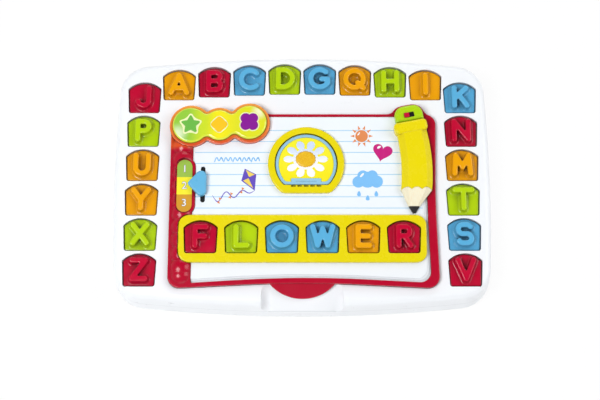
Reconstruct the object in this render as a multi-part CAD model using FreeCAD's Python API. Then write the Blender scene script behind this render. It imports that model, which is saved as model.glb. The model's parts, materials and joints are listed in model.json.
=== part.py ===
import FreeCAD, Part
import math
import os

from FreeCAD import Vector

# Letter-learning console, in millimetres. X points right, Y to the back and Z up.
# The origin is on the table, under the middle of the case.

# Case
BODY_WIDTH = 402.0
BODY_DEPTH = 277.0
RIM_TOP = 40.0
WALL = 2.5
CORNER_RADIUS = 34.0
END_BOW = 12.0
SIDE_BOW = 5.0
FLARE = 4.0
FRONT_LEAN = 3.0
TOP_ROUND = 7.5
BASE_ROUND = 4.0
FOOT_HEIGHT = 1.5
PARTING_HEIGHT = 12.0
LIP_HEIGHT = 3.0
LIP_THICKNESS = 1.4

# Fits and small sizes that the whole assembly shares. OVERLAP sinks fused features into each other,
# PAST is how far a cut runs beyond a face.
FIT_GAP = 0.3
OVERLAP = 0.3
PAST = 1.0
CLEAR_ABOVE = 30.0
SMALL_CORNER = 1.0
BOARD_CORNER = 2.0

# Letter tiles
TILE_WIDTH = 34.4
TILE_TAPER = 2.6
TILE_LENGTH = 33.6
TILE_ARCH = 7.2
TILE_CORNER = 2.2
TILE_HEIGHT = 10.0
TILE_WALL = 1.8
TILE_ROOF = 2.2
TILE_ROUND = 1.6
LETTER_RISE = 6.5
LETTER_TALL = 25.0
LETTER_STROKE = 5.8
LETTER_ROUND = 1.5
LETTER_CREASE = 0.7
PEG_MARGIN = 3.1
PEG_RADIUS = 1.6
PEG_ROW = -6.0
PEG_RELIEF = 0.8
CODE_BITS = 5

# Tile pockets
TILE_GAP = 0.6
POCKET_DEPTH = 12.0
POCKET_WALL = 1.6
POCKET_FLOOR = 1.6

# Tile places round the rim
LEFT_COLUMN = "JPUYXZ"
RIGHT_COLUMN = "KNMTSV"
BACK_ROW = "ABCDGQHI"
COLUMN_MARGIN = 33.0
COLUMN_START = 46.5
COLUMN_SPACE = 3.7
ROW_MARGIN = 25.7
ROW_SPACE = 3.17
ROW_BOW_RADIUS = 1350.0
SCREWED_TILES = "JKUMZVBH"

# Notebook cover
BED_DEPTH = 2.0
COVER_THICKNESS = 4.0
COVER_LEFT = -138.2
COVER_RIGHT = 141.2
COVER_BACK = 72.0
COVER_FRONT = -114.5
COVER_FRONT_SWAY = 7.0
COVER_SWAY_RADIUS = 1200.0
COVER_WAIST = 2.6
COVER_WAIST_Y = -22.0
COVER_WAIST_RADIUS = 900.0
COVER_CORNER = 12.0
COVER_EDGE_ROUND = 1.2
ERASER_BORDER = 3.0
COVER_CREASE = 9.0

# Pages
PAGE_LEFT = -114.0
PAGE_RIGHT = 132.0
PAGE_BACK = 68.6
PAGE_FRONT = -108.6
PAGE_CORNER = 11.0
PAGE_LAYERS = 3
PAGE_LAYER = 1.0
PAGE_STEP = 1.8
SHEET_THICKNESS = 0.3
SHEET_MARGIN = 1.5

# Spine
SPINE_X = -124.8
SPINE_RADIUS = 14.0
SPINE_SINK = 8.8
SPINE_RIB_DEPTH = 1.8
SPINE_PITCH = 14.4
SPINE_RIBS = 10
SPINE_FRONT = -100.0
SPINE_BALL = 13.0

# Word tray
WORD = "FLOWER"
TRAY_SIDE = 6.2
TRAY_BACK = 6.6
TRAY_FRONT = 9.8
TRAY_CORNER = 11.0
TRAY_RISE = 4.0
TRAY_SPACE = 7.45
TRAY_TILE_Y = -61.5
TRAY_ROUND = 1.6
WELL_CORNER = 4.0
TRAY_BOSS_RADIUS = 2.9
TRAY_BOSS_INSET = 1.5

# Picture card and its holder
CARD_X = 4.1
CARD_Y = 16.6
CARD_RADIUS = 32.0
CARD_FLAT = 22.3
CARD_CORNER = 4.0
CARD_THICKNESS = 3.6
CARD_RIM = 3.0
CARD_RECESS = 0.9
CARD_STRIP_WIDTH = 31.0
CARD_STRIP_DEPTH = 6.6
CARD_GROOVE = 0.7
CARD_GROOVE_WIDTH = 21.6
CARD_GAP = 1.0
PRINT_THICKNESS = 0.3
RING_WIDTH = 7.0
RING_FLAT_WIDTH = 8.3
RING_CORNER = 9.0
RING_RISE = 4.0
RING_TUCK = 2.0
RING_FLOOR = 2.0
RING_ROUND = 1.6
TOOTH_COUNT = 4
TOOTH_PITCH = 6.6
TOOTH_WIDTH = 1.6
TOOTH_DEPTH = 1.4
TOOTH_CORNER = 0.4
READER_WIDTH = 36.0
READER_LENGTH = 10.0

# Level pointer and its scale
SLIDER_X = -103.6
SLIDER_Y = -5.0
LEVEL_TRAVEL = 15.0
STEM_WIDTH = 4.0
STEM_LENGTH = 8.0
SLOT_GAP = 0.4
POINTER_REACH = 16.0
POINTER_BACK = 4.0
POINTER_HALF = 22.0
POINTER_TOP_RISE = 7.2
POINTER_ROUND = 2.0
POINTER_TIP = 2.4
POINTER_CORNER = 5.5
SLIDER_FOOT = 9.0
SLIDER_FOOT_HEIGHT = 1.0
TRACK_THICKNESS = 1.5
TRACK_MARGIN = 4.0
SCALE_X = -122.6
SCALE_Y = -7.0
SCALE_WIDTH = 15.8
SCALE_LENGTH = 56.0
SCALE_THICKNESS = 0.4
SCALE_BORDER = 3.4
SCALE_BOSS_RISE = 1.5

# Lit button
LOBES = ((-117.0, 57.5, 19.0), (-87.0, 57.7, 16.4), (-55.5, 60.7, 18.2))
LOBE_CREASE = 6.0
BUTTON_TRAVEL = 2.0
BUTTON_GAP = 0.4
BUTTON_TOP_RISE = 12.0
BUTTON_WALL = 2.2
BUTTON_ROUND = 2.4
BUTTON_FLANGE = 1.6
BUTTON_FLANGE_HEIGHT = 1.8
BUTTON_STEM_RADIUS = 3.0
BUTTON_STEM_Y = 61.0
BEZEL_WIDTH = 3.4
BEZEL_RISE = 8.5
BEZEL_LIP = 3.0
BEZEL_ROUND = 1.2
MOTIF_RISE = 0.8
MOTIF_SIZE = 9.8
STAR_SIZE = 11.6
STAR_CORNER = 1.2
DIAMOND_CORNER = 3.0
LEAF_RADIUS = 5.4
MOTIF_ROUND = 0.35
LAMP_HOLE_RADIUS = 6.0
LAMP_RADIUS = 2.5
LAMP_HEIGHT = 6.0
LAMP_DROP = 11.0
LIGHT_BOARD_DROP = 4.4
LIGHT_BOARD_WIDTH = 92.0
LIGHT_BOARD_LENGTH = 34.0
DOME_RADIUS = 5.0
DOME_CAP_RADIUS = 3.0
DOME_CORE = 1.2
DOME_SKIRT = 1.9
DOME_WALL = 0.8

# Pencil with the power switch
PENCIL_X = 118.6
PENCIL_WIDTH = 32.0
PENCIL_HEIGHT = 9.7
PENCIL_FACET = 6.4
PENCIL_FACET_DROP = 4.6
PENCIL_WALL = 2.2
PENCIL_TAIL_Y = 49.0
PENCIL_BEND_Y = 16.0
PENCIL_SHOULDER_Y = -12.5
PENCIL_WOOD_Y = -29.4
PENCIL_TIP_Y = -36.4
PENCIL_TAIL_SHIFT = -3.3
PENCIL_BEND_SHIFT = 0.9
PENCIL_TIP_SHIFT = -2.8
LEAD_WIDTH = 11.2
LEAD_HEIGHT = 4.6
TIP_WIDTH = 3.0
TIP_HEIGHT = 2.0
SCALLOP_RADIUS = 6.6
SCALLOP_REACH = 2.6
COLLAR_LENGTH = 13.0
COLLAR_PROUD = 1.5
COLLAR_RISE = 1.0
COLLAR_CORNER = 4.0
COLLAR_ROUND = 2.6
TAIL_LEAN = 11.0
ERASER_WIDTH = 29.8
ERASER_LENGTH = 17.2
ERASER_SHIFT = -6.4
ERASER_CORNER = 10.0
ERASER_HEIGHT = 8.4
ERASER_ROUND = 3.0
ERASER_WALL = 2.0
SWITCH_SLOT_LENGTH = 11.0
SWITCH_SLOT_WIDTH = 5.6
SWITCH_TRAVEL = 5.0
KNOB_PROUD = 1.4
KNOB_ROUND = 0.6
SWITCH_BODY_WIDTH = 18.0
SWITCH_BODY_LENGTH = 8.4
SWITCH_LEAD_OFFSET = 3.0

# Front scoop and badge plate
SCOOP_WIDTH = 85.4
SCOOP_CORNER = 10.0
SCOOP_LOW = 17.0
SCOOP_TOP_DROP = 1.5
BADGE_WIDTH = 69.6
BADGE_LENGTH = 17.0
BADGE_THICKNESS = 4.4
BADGE_TUCK = 1.6
BADGE_ROUND = 1.2

# Screws, all alike
SCREW_HEAD_RADIUS = 2.6
SCREW_HEAD_HEIGHT = 1.8
SCREW_RADIUS = 1.4
SCREW_LENGTH = 6.0
SCREW_SLOT = 0.7
SCREW_CROSS = 3.6
SCREW_CLEARANCE = 0.25
BOSS_RADIUS = 3.8
POST_RADIUS = 5.0
POST_WEB = 2.0
POST_TOP = 10.0
COVER_SCREWS = ((-95.0, -98.0), (95.0, -98.0), (60.0, 62.0), (0.0, 62.0), (60.0, -25.0), (-60.0, -25.0))

# Feet
FOOT_RADIUS = 7.0
FOOT_RECESS = 1.0
FOOT_MARGIN_X = 46.0
FOOT_MARGIN_Y = 40.0

# Batteries
CELL_COUNT = 3
CELL_RADIUS = 7.1
CELL_LENGTH = 49.0
CELL_NUB_RADIUS = 2.7
CELL_NUB = 1.4
CELL_SPACE = 0.7
BOX_X = 55.0
BOX_Y = 12.0
BOX_WALL = 1.6
CONTACT_ROOM = 3.6
CONTACT_THICKNESS = 0.5
CONTACT_SIZE = 11.0
CONTACT_SPRING_RADIUS = 5.1
DOOR_THICKNESS = 2.0
DOOR_EAR_WIDTH = 16.0
DOOR_EAR_LENGTH = 12.0
DOOR_EAR_HEIGHT = 4.6

# Speaker
SPEAKER_X = -70.0
SPEAKER_Y = 8.0
SPEAKER_RADIUS = 25.0
SPEAKER_RIM = 3.0
SPEAKER_STEP = 1.0
SPEAKER_DEPTH = 12.0
MAGNET_RADIUS = 15.0
BASKET_RADIUS = 13.0
SPEAKER_LEAD_SPREAD = 4.0
MAGNET_DEPTH = 6.0
GRILLE_HOLE_RADIUS = 1.6
GRILLE_PITCH = 6.0
GRILLE_RINGS = 3

# Boards and leads
BOARD_THICKNESS = 1.6
PAD_THICKNESS = 2.0
PAD_LENGTH = 11.0
NUB_RADIUS = 1.5
NUB_PROUD = 0.5
MAIN_BOARD_MARGIN = 2.0
CHIP_WIDTH = 14.0
CHIP_HEIGHT = 2.0
CHIP_SPREAD = 24.0
CHIP_SETBACK = 5.5
CAN_RADIUS = 3.5
CAN_HEIGHT = 6.0
LEAD_RADIUS = 0.8
LEAD_BEND = 7.0
LEAD_ROOM = 4.0
LEAD_LANDING = 5.0

# Heights that follow from the sizes above
BED_FLOOR = RIM_TOP - BED_DEPTH
COVER_TOP = BED_FLOOR + COVER_THICKNESS
PAGE_TOP = COVER_TOP + PAGE_LAYERS * PAGE_LAYER
SHEET_TOP = PAGE_TOP + SHEET_THICKNESS
TRAY_TOP = PAGE_TOP + TRAY_RISE
RING_TOP = SHEET_TOP + RING_RISE
BEZEL_TOP = COVER_TOP + BEZEL_RISE
BUTTON_TOP = COVER_TOP + BUTTON_TOP_RISE
RIM_SEAT = RIM_TOP - POCKET_DEPTH
TRAY_SEAT = TRAY_TOP - POCKET_DEPTH
BOX_FLOOR = FOOT_HEIGHT + DOOR_THICKNESS
CELL_AXIS = BOX_FLOOR + FIT_GAP + CELL_RADIUS
BOX_TOP = CELL_AXIS + CELL_RADIUS + FIT_GAP
PAD_TOP = TRAY_SEAT - POCKET_FLOOR
BOARD_TOP = PAD_TOP - PAD_THICKNESS
LIGHT_BOARD_TOP = BED_FLOOR - WALL - LIGHT_BOARD_DROP
DOME_HEIGHT = BUTTON_TRAVEL + DOME_CORE

# Places that follow from the sizes above
PEG_PITCH = (TILE_WIDTH - TILE_TAPER - 2 * (TILE_WALL + PEG_MARGIN)) / (CODE_BITS - 1)
COLUMN_PITCH = TILE_LENGTH + COLUMN_SPACE
ROW_PITCH = TILE_WIDTH + ROW_SPACE
TRAY_PITCH = TILE_WIDTH + TRAY_SPACE
TRAY_TILES_WIDTH = (len(WORD) - 1) * TRAY_PITCH + TILE_WIDTH
TRAY_WIDTH = TRAY_TILES_WIDTH + 2 * TRAY_SIDE
TRAY_LENGTH = TILE_LENGTH + TRAY_BACK + TRAY_FRONT
TRAY_Y = TRAY_TILE_Y + (TRAY_BACK - TRAY_FRONT) / 2
TRAY_SCREW_Y = TRAY_TILE_Y + TILE_LENGTH / 2 - TRAY_BOSS_INSET
LEAD_END_Y = TRAY_SCREW_Y - SCREW_HEAD_RADIUS - LEAD_ROOM
CHIP_Y = TRAY_TILE_Y - CHIP_SETBACK
CELL_PITCH = 2 * CELL_RADIUS + CELL_SPACE
COLLAR_X = PENCIL_X + (PENCIL_TAIL_SHIFT + ERASER_SHIFT) / 2
COLLAR_Y = PENCIL_TAIL_Y + COLLAR_LENGTH / 2
ERASER_FRONT = PENCIL_TAIL_Y + COLLAR_LENGTH
SWITCH_X = PENCIL_X + ERASER_SHIFT
SWITCH_Y = ERASER_FRONT + ERASER_WALL + FIT_GAP + SWITCH_BODY_LENGTH / 2
SWITCH_LEAD_Y = SWITCH_Y + SWITCH_LEAD_OFFSET

# Letter strokes. Four numbers are a straight stroke from one point to another, five are an arc with
# its centre, radius and two angles. One unit is half the distance between the top and bottom strokes.
STROKES = {
    "A": ((-0.86, -1, 0, 1), (0, 1, 0.86, -1), (-0.55, -0.48, 0.55, -0.48)),
    "B": ((-0.62, -1, -0.62, 1), (-0.62, 1, 0.16, 1), (0.16, 0.51, 0.49, -90, 90),
          (-0.62, 0.02, 0.2, 0.02), (0.2, -0.49, 0.51, -90, 90), (-0.62, -1, 0.2, -1)),
    "C": ((0.1, 0, 1, 48, 312),),
    "D": ((-0.7, -1, -0.7, 1), (-0.7, 1, -0.14, 1), (-0.14, 0, 1, -90, 90), (-0.7, -1, -0.14, -1)),
    "E": ((-0.58, -1, -0.58, 1), (-0.58, 1, 0.62, 1), (-0.58, 0, 0.5, 0), (-0.58, -1, 0.62, -1)),
    "F": ((-0.55, -1, -0.55, 1), (-0.55, 1, 0.6, 1), (-0.55, 0, 0.46, 0)),
    "G": ((0, 0, 1, 48, 330), (0.87, -0.5, 0.87, -0.08), (0.2, -0.08, 0.87, -0.08)),
    "H": ((-0.72, -1, -0.72, 1), (0.72, -1, 0.72, 1), (-0.72, 0, 0.72, 0)),
    "I": ((0, -1, 0, 1),),
    "J": ((0.5, 1, 0.5, -0.42), (-0.08, -0.42, 0.58, -165, 0)),
    "K": ((-0.64, -1, -0.64, 1), (-0.64, -0.2, 0.66, 1), (-0.16, 0.24, 0.72, -1)),
    "L": ((-0.55, 1, -0.55, -1), (-0.55, -1, 0.64, -1)),
    "M": ((-0.86, -1, -0.72, 1), (-0.72, 1, 0, -0.3), (0, -0.3, 0.72, 1), (0.72, 1, 0.86, -1)),
    "N": ((-0.78, -1, -0.78, 1), (-0.78, 1, 0.78, -1), (0.78, -1, 0.78, 1)),
    "O": ((0, 0, 0.98, 0, 360),),
    "P": ((-0.58, -1, -0.58, 1), (-0.58, 1, 0.1, 1), (0.1, 0.48, 0.52, -90, 90),
          (-0.58, -0.04, 0.1, -0.04)),
    "Q": ((-0.05, 0.03, 0.97, 0, 360), (0.3, -0.4, 0.92, -1)),
    "R": ((-0.6, -1, -0.6, 1), (-0.6, 1, 0.08, 1), (0.08, 0.5, 0.5, -90, 90), (-0.6, 0, 0.08, 0),
          (0, 0, 0.66, -1)),
    "S": ((0.2, 0.5, 0.5, 36, 90), (0.2, 1, -0.2, 1), (-0.2, 0.5, 0.5, 90, 270), (-0.2, 0, 0.2, 0),
          (0.2, -0.5, 0.5, -90, 90), (0.2, -1, -0.2, -1), (-0.2, -0.5, 0.5, -144, -90)),
    "T": ((-0.9, 1, 0.9, 1), (0, 1, 0, -1)),
    "U": ((-0.68, 1, -0.68, -0.32), (0, -0.32, 0.68, 180, 360), (0.68, -0.32, 0.68, 1)),
    "V": ((-0.84, 1, 0, -1), (0, -1, 0.84, 1)),
    "W": ((-1.06, 1, -0.54, -1), (-0.54, -1, 0, 0.8), (0, 0.8, 0.54, -1), (0.54, -1, 1.06, 1)),
    "X": ((-0.74, 1, 0.74, -1), (-0.74, -1, 0.74, 1)),
    "Y": ((-0.8, 1, 0, -0.1), (0.8, 1, 0, -0.1), (0, -0.1, 0, -1)),
    "Z": ((-0.7, 1, 0.7, 1), (0.7, 1, -0.7, -1), (-0.7, -1, 0.7, -1)),
}


# Plain shapes

def line(a, b):
    return Part.LineSegment(a, b).toShape()


def arc(a, middle, b):
    return Part.Arc(a, middle, b).toShape()


def around(centre, radius, degrees):
    angle = math.radians(degrees)
    return centre + Vector(radius * math.cos(angle), radius * math.sin(angle), 0)


def rod(x, y, radius, low, high):
    return Part.makeCylinder(radius, high - low, Vector(x, y, low))


def plate(wire, low, high, hole=None):
    """Upright prism on a flat outline, with an upright hole through it if one is given."""
    face = Part.makeFace([wire, hole] if hole else [wire], "Part::FaceMakerBullseye")
    face.translate(Vector(0, 0, low))
    return face.extrude(Vector(0, 0, high - low))


def outline(corners):
    """Closed outline through (x, y, radius) corners, each rounded by its own radius."""
    runs = []
    count = len(corners)
    for i in range(count):
        before = Vector(*corners[i - 1][:2], 0)
        corner = Vector(*corners[i][:2], 0)
        after = Vector(*corners[(i + 1) % count][:2], 0)
        back = (before - corner).normalize()
        ahead = (after - corner).normalize()
        half = back.getAngle(ahead) / 2
        radius = corners[i][2]
        inward = (back + ahead).normalize()
        start = corner + back * (radius / math.tan(half))
        end = corner + ahead * (radius / math.tan(half))
        middle = corner + inward * (radius / math.sin(half) - radius)
        runs.append((start, middle, end))
    edges = []
    for i in range(count):
        start, middle, end = runs[i]
        edges.append(arc(start, middle, end))
        edges.append(line(end, runs[(i + 1) % count][0]))
    return Part.Wire(edges)


def rectangle(x, y, width, length, radius):
    left, right = x - width / 2, x + width / 2
    front, back = y - length / 2, y + length / 2
    places = ((left, front), (right, front), (right, back), (left, back))
    return outline([(corner_x, corner_y, radius) for corner_x, corner_y in places])


def block(x, y, width, length, radius, low, high):
    return plate(rectangle(x, y, width, length, radius), low, high)


def stadium(x, y, width, length, low, high):
    """Upright prism with straight sides along Y and round ends."""
    half = width / 2
    reach = length / 2 - half
    front_left, front_right = Vector(x - half, y - reach, 0), Vector(x + half, y - reach, 0)
    back_left, back_right = Vector(x - half, y + reach, 0), Vector(x + half, y + reach, 0)
    return plate(Part.Wire([
        arc(front_left, Vector(x, y - length / 2, 0), front_right),
        line(front_right, back_right),
        arc(back_right, Vector(x, y + length / 2, 0), back_left),
        line(back_left, front_left),
    ]), low, high)


def floor_wire(solid):
    return min(solid.Faces, key=lambda face: face.BoundBox.ZMax).OuterWire


def round_corners(edges, radius):
    """Outline with every corner rounded by one radius."""
    prism = Part.Face(Part.Wire(edges)).extrude(Vector(0, 0, 1))
    upright = [edge for edge in prism.Edges if edge.BoundBox.ZLength > 0.5]
    return floor_wire(prism.makeFillet(radius, upright))


def merge_outlines(wires):
    """Outline round several overlapping outlines."""
    prisms = [plate(wire, 0, 1) for wire in wires]
    return floor_wire(prisms[0].multiFuse(prisms[1:]).removeSplitter())


def grown(wire, distance):
    return wire.makeOffset2D(distance)


def soften(solid, height, radius):
    """Round the edges that lie flat at one height."""
    edges = [e for e in solid.Edges if e.BoundBox.ZMin > height - 1e-4 and e.BoundBox.ZMax < height + 1e-4]
    return solid.makeFillet(radius, edges)


def fused(solids):
    return solids[0].multiFuse(solids[1:]).removeSplitter().Solids[0]


def slab(solid, low, high):
    """Flat slab from one height to another, wider than the solid."""
    box = solid.BoundBox
    corner = Vector(box.XMin - PAST, box.YMin - PAST, low)
    return Part.makeBox(box.XLength + 2 * PAST, box.YLength + 2 * PAST, high - low, corner)


def keep_above(solid, height):
    return solid.cut(slab(solid, solid.BoundBox.ZMin - PAST, height))


def keep_below(solid, height):
    return solid.cut(slab(solid, height, solid.BoundBox.ZMax + PAST))


def tube(points, radius):
    """Round lead along straight runs joined by equal bends."""
    edges = []
    start = points[0]
    for i in range(1, len(points) - 1):
        back = (points[i - 1] - points[i]).normalize()
        ahead = (points[i + 1] - points[i]).normalize()
        half = back.getAngle(ahead) / 2
        reach = LEAD_BEND / math.tan(half)
        inward = (back + ahead).normalize()
        bend_start = points[i] + back * reach
        bend_end = points[i] + ahead * reach
        bend_middle = points[i] + inward * (LEAD_BEND / math.sin(half) - LEAD_BEND)
        edges.append(line(start, bend_start))
        edges.append(arc(bend_start, bend_middle, bend_end))
        start = bend_end
    edges.append(line(start, points[-1]))
    path = Part.Wire(edges)
    direction = (points[1] - points[0]).normalize()
    section = Part.Wire(Part.makeCircle(radius, points[0], direction))
    return path.makePipeShell([section], True, False)


# Case outline

def case_outline():
    x = BODY_WIDTH / 2
    y = BODY_DEPTH / 2
    front_left = Vector(SIDE_BOW - x, END_BOW - y, 0)
    front_right = Vector(x - SIDE_BOW, END_BOW - y, 0)
    back_right = Vector(x - SIDE_BOW, y - END_BOW, 0)
    back_left = Vector(SIDE_BOW - x, y - END_BOW, 0)
    edges = [
        arc(front_left, Vector(0, -y, 0), front_right),
        arc(front_right, Vector(x, 0, 0), back_right),
        arc(back_right, Vector(0, y, 0), back_left),
        arc(back_left, Vector(-x, 0, 0), front_left),
    ]
    return round_corners(edges, CORNER_RADIUS)


CASE_OUTLINE = case_outline()


def case_section(inset, height):
    """Case outline at one height: widest at the base, then leaning in and to the back."""
    share = (height - FOOT_HEIGHT) / (RIM_TOP - FOOT_HEIGHT)
    total = inset + FLARE * share
    wire = grown(CASE_OUTLINE, -total) if total else CASE_OUTLINE.copy()
    wire.translate(Vector(0, FRONT_LEAN * share, height))
    return wire


def case_solid(inset, floor):
    """Whole case as one solid, drawn in all round by the inset and standing a floor's thickness higher."""
    low = FOOT_HEIGHT + floor
    high = RIM_TOP - inset
    solid = Part.makeLoft([case_section(inset, low), case_section(inset, high)], True, True)
    return soften(soften(solid, high, TOP_ROUND - inset), low, BASE_ROUND - floor)


# Tile outline and pockets

def tile_outline():
    foot = (TILE_WIDTH - TILE_TAPER) / 2
    wide = TILE_WIDTH / 2
    end = TILE_LENGTH / 2
    shoulder = end - TILE_ARCH
    edges = [
        line(Vector(-foot, -end, 0), Vector(foot, -end, 0)),
        line(Vector(foot, -end, 0), Vector(wide, shoulder, 0)),
        arc(Vector(wide, shoulder, 0), Vector(0, end, 0), Vector(-wide, shoulder, 0)),
        line(Vector(-wide, shoulder, 0), Vector(-foot, -end, 0)),
    ]
    return round_corners(edges, TILE_CORNER)


TILE_OUTLINE = tile_outline()


def rim_places():
    places = {}
    for side, letters in ((-1, LEFT_COLUMN), (1, RIGHT_COLUMN)):
        for i, letter in enumerate(letters):
            x = side * (BODY_WIDTH / 2 - COLUMN_MARGIN)
            places[letter] = (x, BODY_DEPTH / 2 - COLUMN_START - i * COLUMN_PITCH)
    for i, letter in enumerate(BACK_ROW):
        x = (i - (len(BACK_ROW) - 1) / 2) * ROW_PITCH
        places[letter] = (x, BODY_DEPTH / 2 - ROW_MARGIN - x * x / (2 * ROW_BOW_RADIUS))
    return places


def tray_places():
    return {letter: ((i - (len(WORD) - 1) / 2) * TRAY_PITCH, TRAY_TILE_Y) for i, letter in enumerate(WORD)}


def tile_prism(grow, place, low, high):
    prism = plate(grown(TILE_OUTLINE, grow), low, high)
    prism.translate(Vector(place[0], place[1], 0))
    return prism


def pocket_cup(place, seat, top):
    return tile_prism(TILE_GAP + POCKET_WALL, place, seat - POCKET_FLOOR, top)


def pocket_space(place, seat):
    return tile_prism(TILE_GAP, place, seat, seat + POCKET_DEPTH + CLEAR_ABOVE)


def peg_places(place):
    start = place[0] - (CODE_BITS - 1) / 2 * PEG_PITCH
    return [(start + bit * PEG_PITCH, place[1] + PEG_ROW) for bit in range(CODE_BITS)]


# Letter tiles

def straight_stroke(x0, y0, x1, y1, unit):
    a = Vector(x0, y0, 0) * unit
    b = Vector(x1, y1, 0) * unit
    along = (b - a).normalize() * (LETTER_STROKE / 2)
    across = Vector(-along.y, along.x, 0)
    return Part.Face(Part.Wire([
        line(a - across, b - across),
        arc(b - across, b + along, b + across),
        line(b + across, a + across),
        arc(a + across, a - along, a - across),
    ]))


def curved_stroke(x, y, radius, start, end, unit):
    centre = Vector(x, y, 0) * unit
    middle = radius * unit
    outer = middle + LETTER_STROKE / 2
    inner = middle - LETTER_STROKE / 2
    if end - start >= 360:
        disc = Part.Face(Part.Wire(Part.makeCircle(outer, centre)))
        hole = Part.Face(Part.Wire(Part.makeCircle(inner, centre)))
        return disc.cut(hole).Faces[0]
    half = (start + end) / 2
    start_cap = around(around(centre, middle, start), LETTER_STROKE / 2, start - 90)
    end_cap = around(around(centre, middle, end), LETTER_STROKE / 2, end + 90)
    return Part.Face(Part.Wire([
        arc(around(centre, outer, start), around(centre, outer, half), around(centre, outer, end)),
        arc(around(centre, outer, end), end_cap, around(centre, inner, end)),
        arc(around(centre, inner, end), around(centre, inner, half), around(centre, inner, start)),
        arc(around(centre, inner, start), start_cap, around(centre, outer, start)),
    ]))


def letter_face(letter):
    unit = (LETTER_TALL - LETTER_STROKE) / 2
    strokes = [straight_stroke(*s, unit) if len(s) == 4 else curved_stroke(*s, unit) for s in STROKES[letter]]
    if len(strokes) == 1:
        return strokes[0]
    joined = strokes[0].multiFuse(strokes[1:]).removeSplitter().Faces[0]
    return joined.makeOffset2D(LETTER_CREASE).makeOffset2D(-LETTER_CREASE).Faces[0]


def tile(letter, place, seat):
    body = soften(plate(TILE_OUTLINE, 0, TILE_HEIGHT), TILE_HEIGHT, TILE_ROUND)
    roof = TILE_HEIGHT - TILE_ROOF
    body = body.cut(plate(grown(TILE_OUTLINE, -TILE_WALL), -1, roof))
    face = letter_face(letter)
    face.translate(Vector(0, 0, TILE_HEIGHT - OVERLAP))
    raised = face.extrude(Vector(0, 0, LETTER_RISE + OVERLAP)).Solids[0]
    pieces = [body, soften(raised, TILE_HEIGHT + LETTER_RISE, LETTER_ROUND)]
    code = ord(letter) - ord("A") + 1
    for bit, (x, y) in enumerate(peg_places((0, 0))):
        if code >> bit & 1:
            pieces.append(rod(x, y, PEG_RADIUS, PEG_RELIEF, roof + OVERLAP))
    solid = fused(pieces)
    solid.translate(Vector(place[0], place[1], seat))
    return solid


# Notebook outlines

def leaning(shape, x, y):
    """Shape turned about the upright through (x, y), the way the pencil's tail leans."""
    return shape.rotated(Vector(x, y, 0), Vector(0, 0, 1), TAIL_LEAN)


def eraser_outline():
    left = SWITCH_X - ERASER_WIDTH / 2
    right = SWITCH_X + ERASER_WIDTH / 2
    back = ERASER_FRONT + ERASER_LENGTH
    upright = outline([
        (left, ERASER_FRONT, SMALL_CORNER),
        (right, ERASER_FRONT, SMALL_CORNER),
        (right, back, ERASER_CORNER),
        (left, back, ERASER_CORNER),
    ])
    return leaning(upright, SWITCH_X, SWITCH_Y)


def button_outline():
    lobes = [Part.Wire(Part.makeCircle(radius, Vector(x, y, 0))) for x, y, radius in LOBES]
    return grown(grown(merge_outlines(lobes), LOBE_CREASE), -LOBE_CREASE)


BUTTON_OUTLINE = button_outline()
BEZEL_OUTLINE = grown(BUTTON_OUTLINE, BEZEL_WIDTH)


def cover_outline():
    main = outline([
        (COVER_LEFT, COVER_FRONT, COVER_CORNER),
        (0, COVER_FRONT + COVER_FRONT_SWAY, COVER_SWAY_RADIUS),
        (COVER_RIGHT, COVER_FRONT, COVER_CORNER),
        (COVER_RIGHT - COVER_WAIST, COVER_WAIST_Y, COVER_WAIST_RADIUS),
        (COVER_RIGHT, COVER_BACK, COVER_CORNER),
        (COVER_LEFT, COVER_BACK, COVER_CORNER),
    ])
    merged = merge_outlines([main, BEZEL_OUTLINE, grown(eraser_outline(), ERASER_BORDER)])
    return grown(grown(merged, COVER_CREASE), -COVER_CREASE)


COVER_OUTLINE = cover_outline()


def page_outline(step):
    """Outline of one page layer, drawn back at the front and the right by its step."""
    front = PAGE_FRONT + step
    right = PAGE_RIGHT - step
    return outline([
        (PAGE_LEFT, front, SMALL_CORNER),
        (0, front + COVER_FRONT_SWAY, COVER_SWAY_RADIUS),
        (right, front, PAGE_CORNER),
        (right - COVER_WAIST, COVER_WAIST_Y, COVER_WAIST_RADIUS),
        (right, PAGE_BACK, PAGE_CORNER),
        (PAGE_LEFT, PAGE_BACK, SMALL_CORNER),
    ])


def tray_outline():
    return rectangle(0, TRAY_Y, TRAY_WIDTH, TRAY_LENGTH, TRAY_CORNER)


def tray_well(low, high):
    room = TILE_GAP + POCKET_WALL + FIT_GAP
    return block(0, TRAY_TILE_Y, TRAY_TILES_WIDTH + 2 * room, TILE_LENGTH + 2 * room, WELL_CORNER, low, high)


def slider_slot(low, high):
    length = STEM_LENGTH + 2 * (LEVEL_TRAVEL + SLOT_GAP)
    width = STEM_WIDTH + 2 * SLOT_GAP
    return stadium(SLIDER_X, SLIDER_Y, width, length, low, high)


def lamp_places():
    return [(x, y - (LAMP_DROP if i == 1 else 0)) for i, (x, y, radius) in enumerate(LOBES)]


def stem_place():
    return (LOBES[1][0], BUTTON_STEM_Y)


def bed_openings(low, high):
    """Openings through the case's notebook bed and the cover: tray, lamps, button stem and switch leads."""
    holes = [tray_well(low, high)]
    holes += [rod(x, y, LAMP_HOLE_RADIUS, low, high) for x, y in lamp_places()]
    holes.append(rod(*stem_place(), BUTTON_STEM_RADIUS + BUTTON_GAP, low, high))
    holes.append(rod(SWITCH_X, SWITCH_LEAD_Y, LEAD_RADIUS + FIT_GAP, low, high))
    return holes


# Scoop in the case's front, with the badge plate in it

def scoop_height(y):
    front = -BODY_DEPTH / 2
    top_y = COVER_FRONT + COVER_FRONT_SWAY
    top = RIM_TOP - SCOOP_TOP_DROP
    return SCOOP_LOW + (top - SCOOP_LOW) * (y - front) / (top_y - front)


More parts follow.
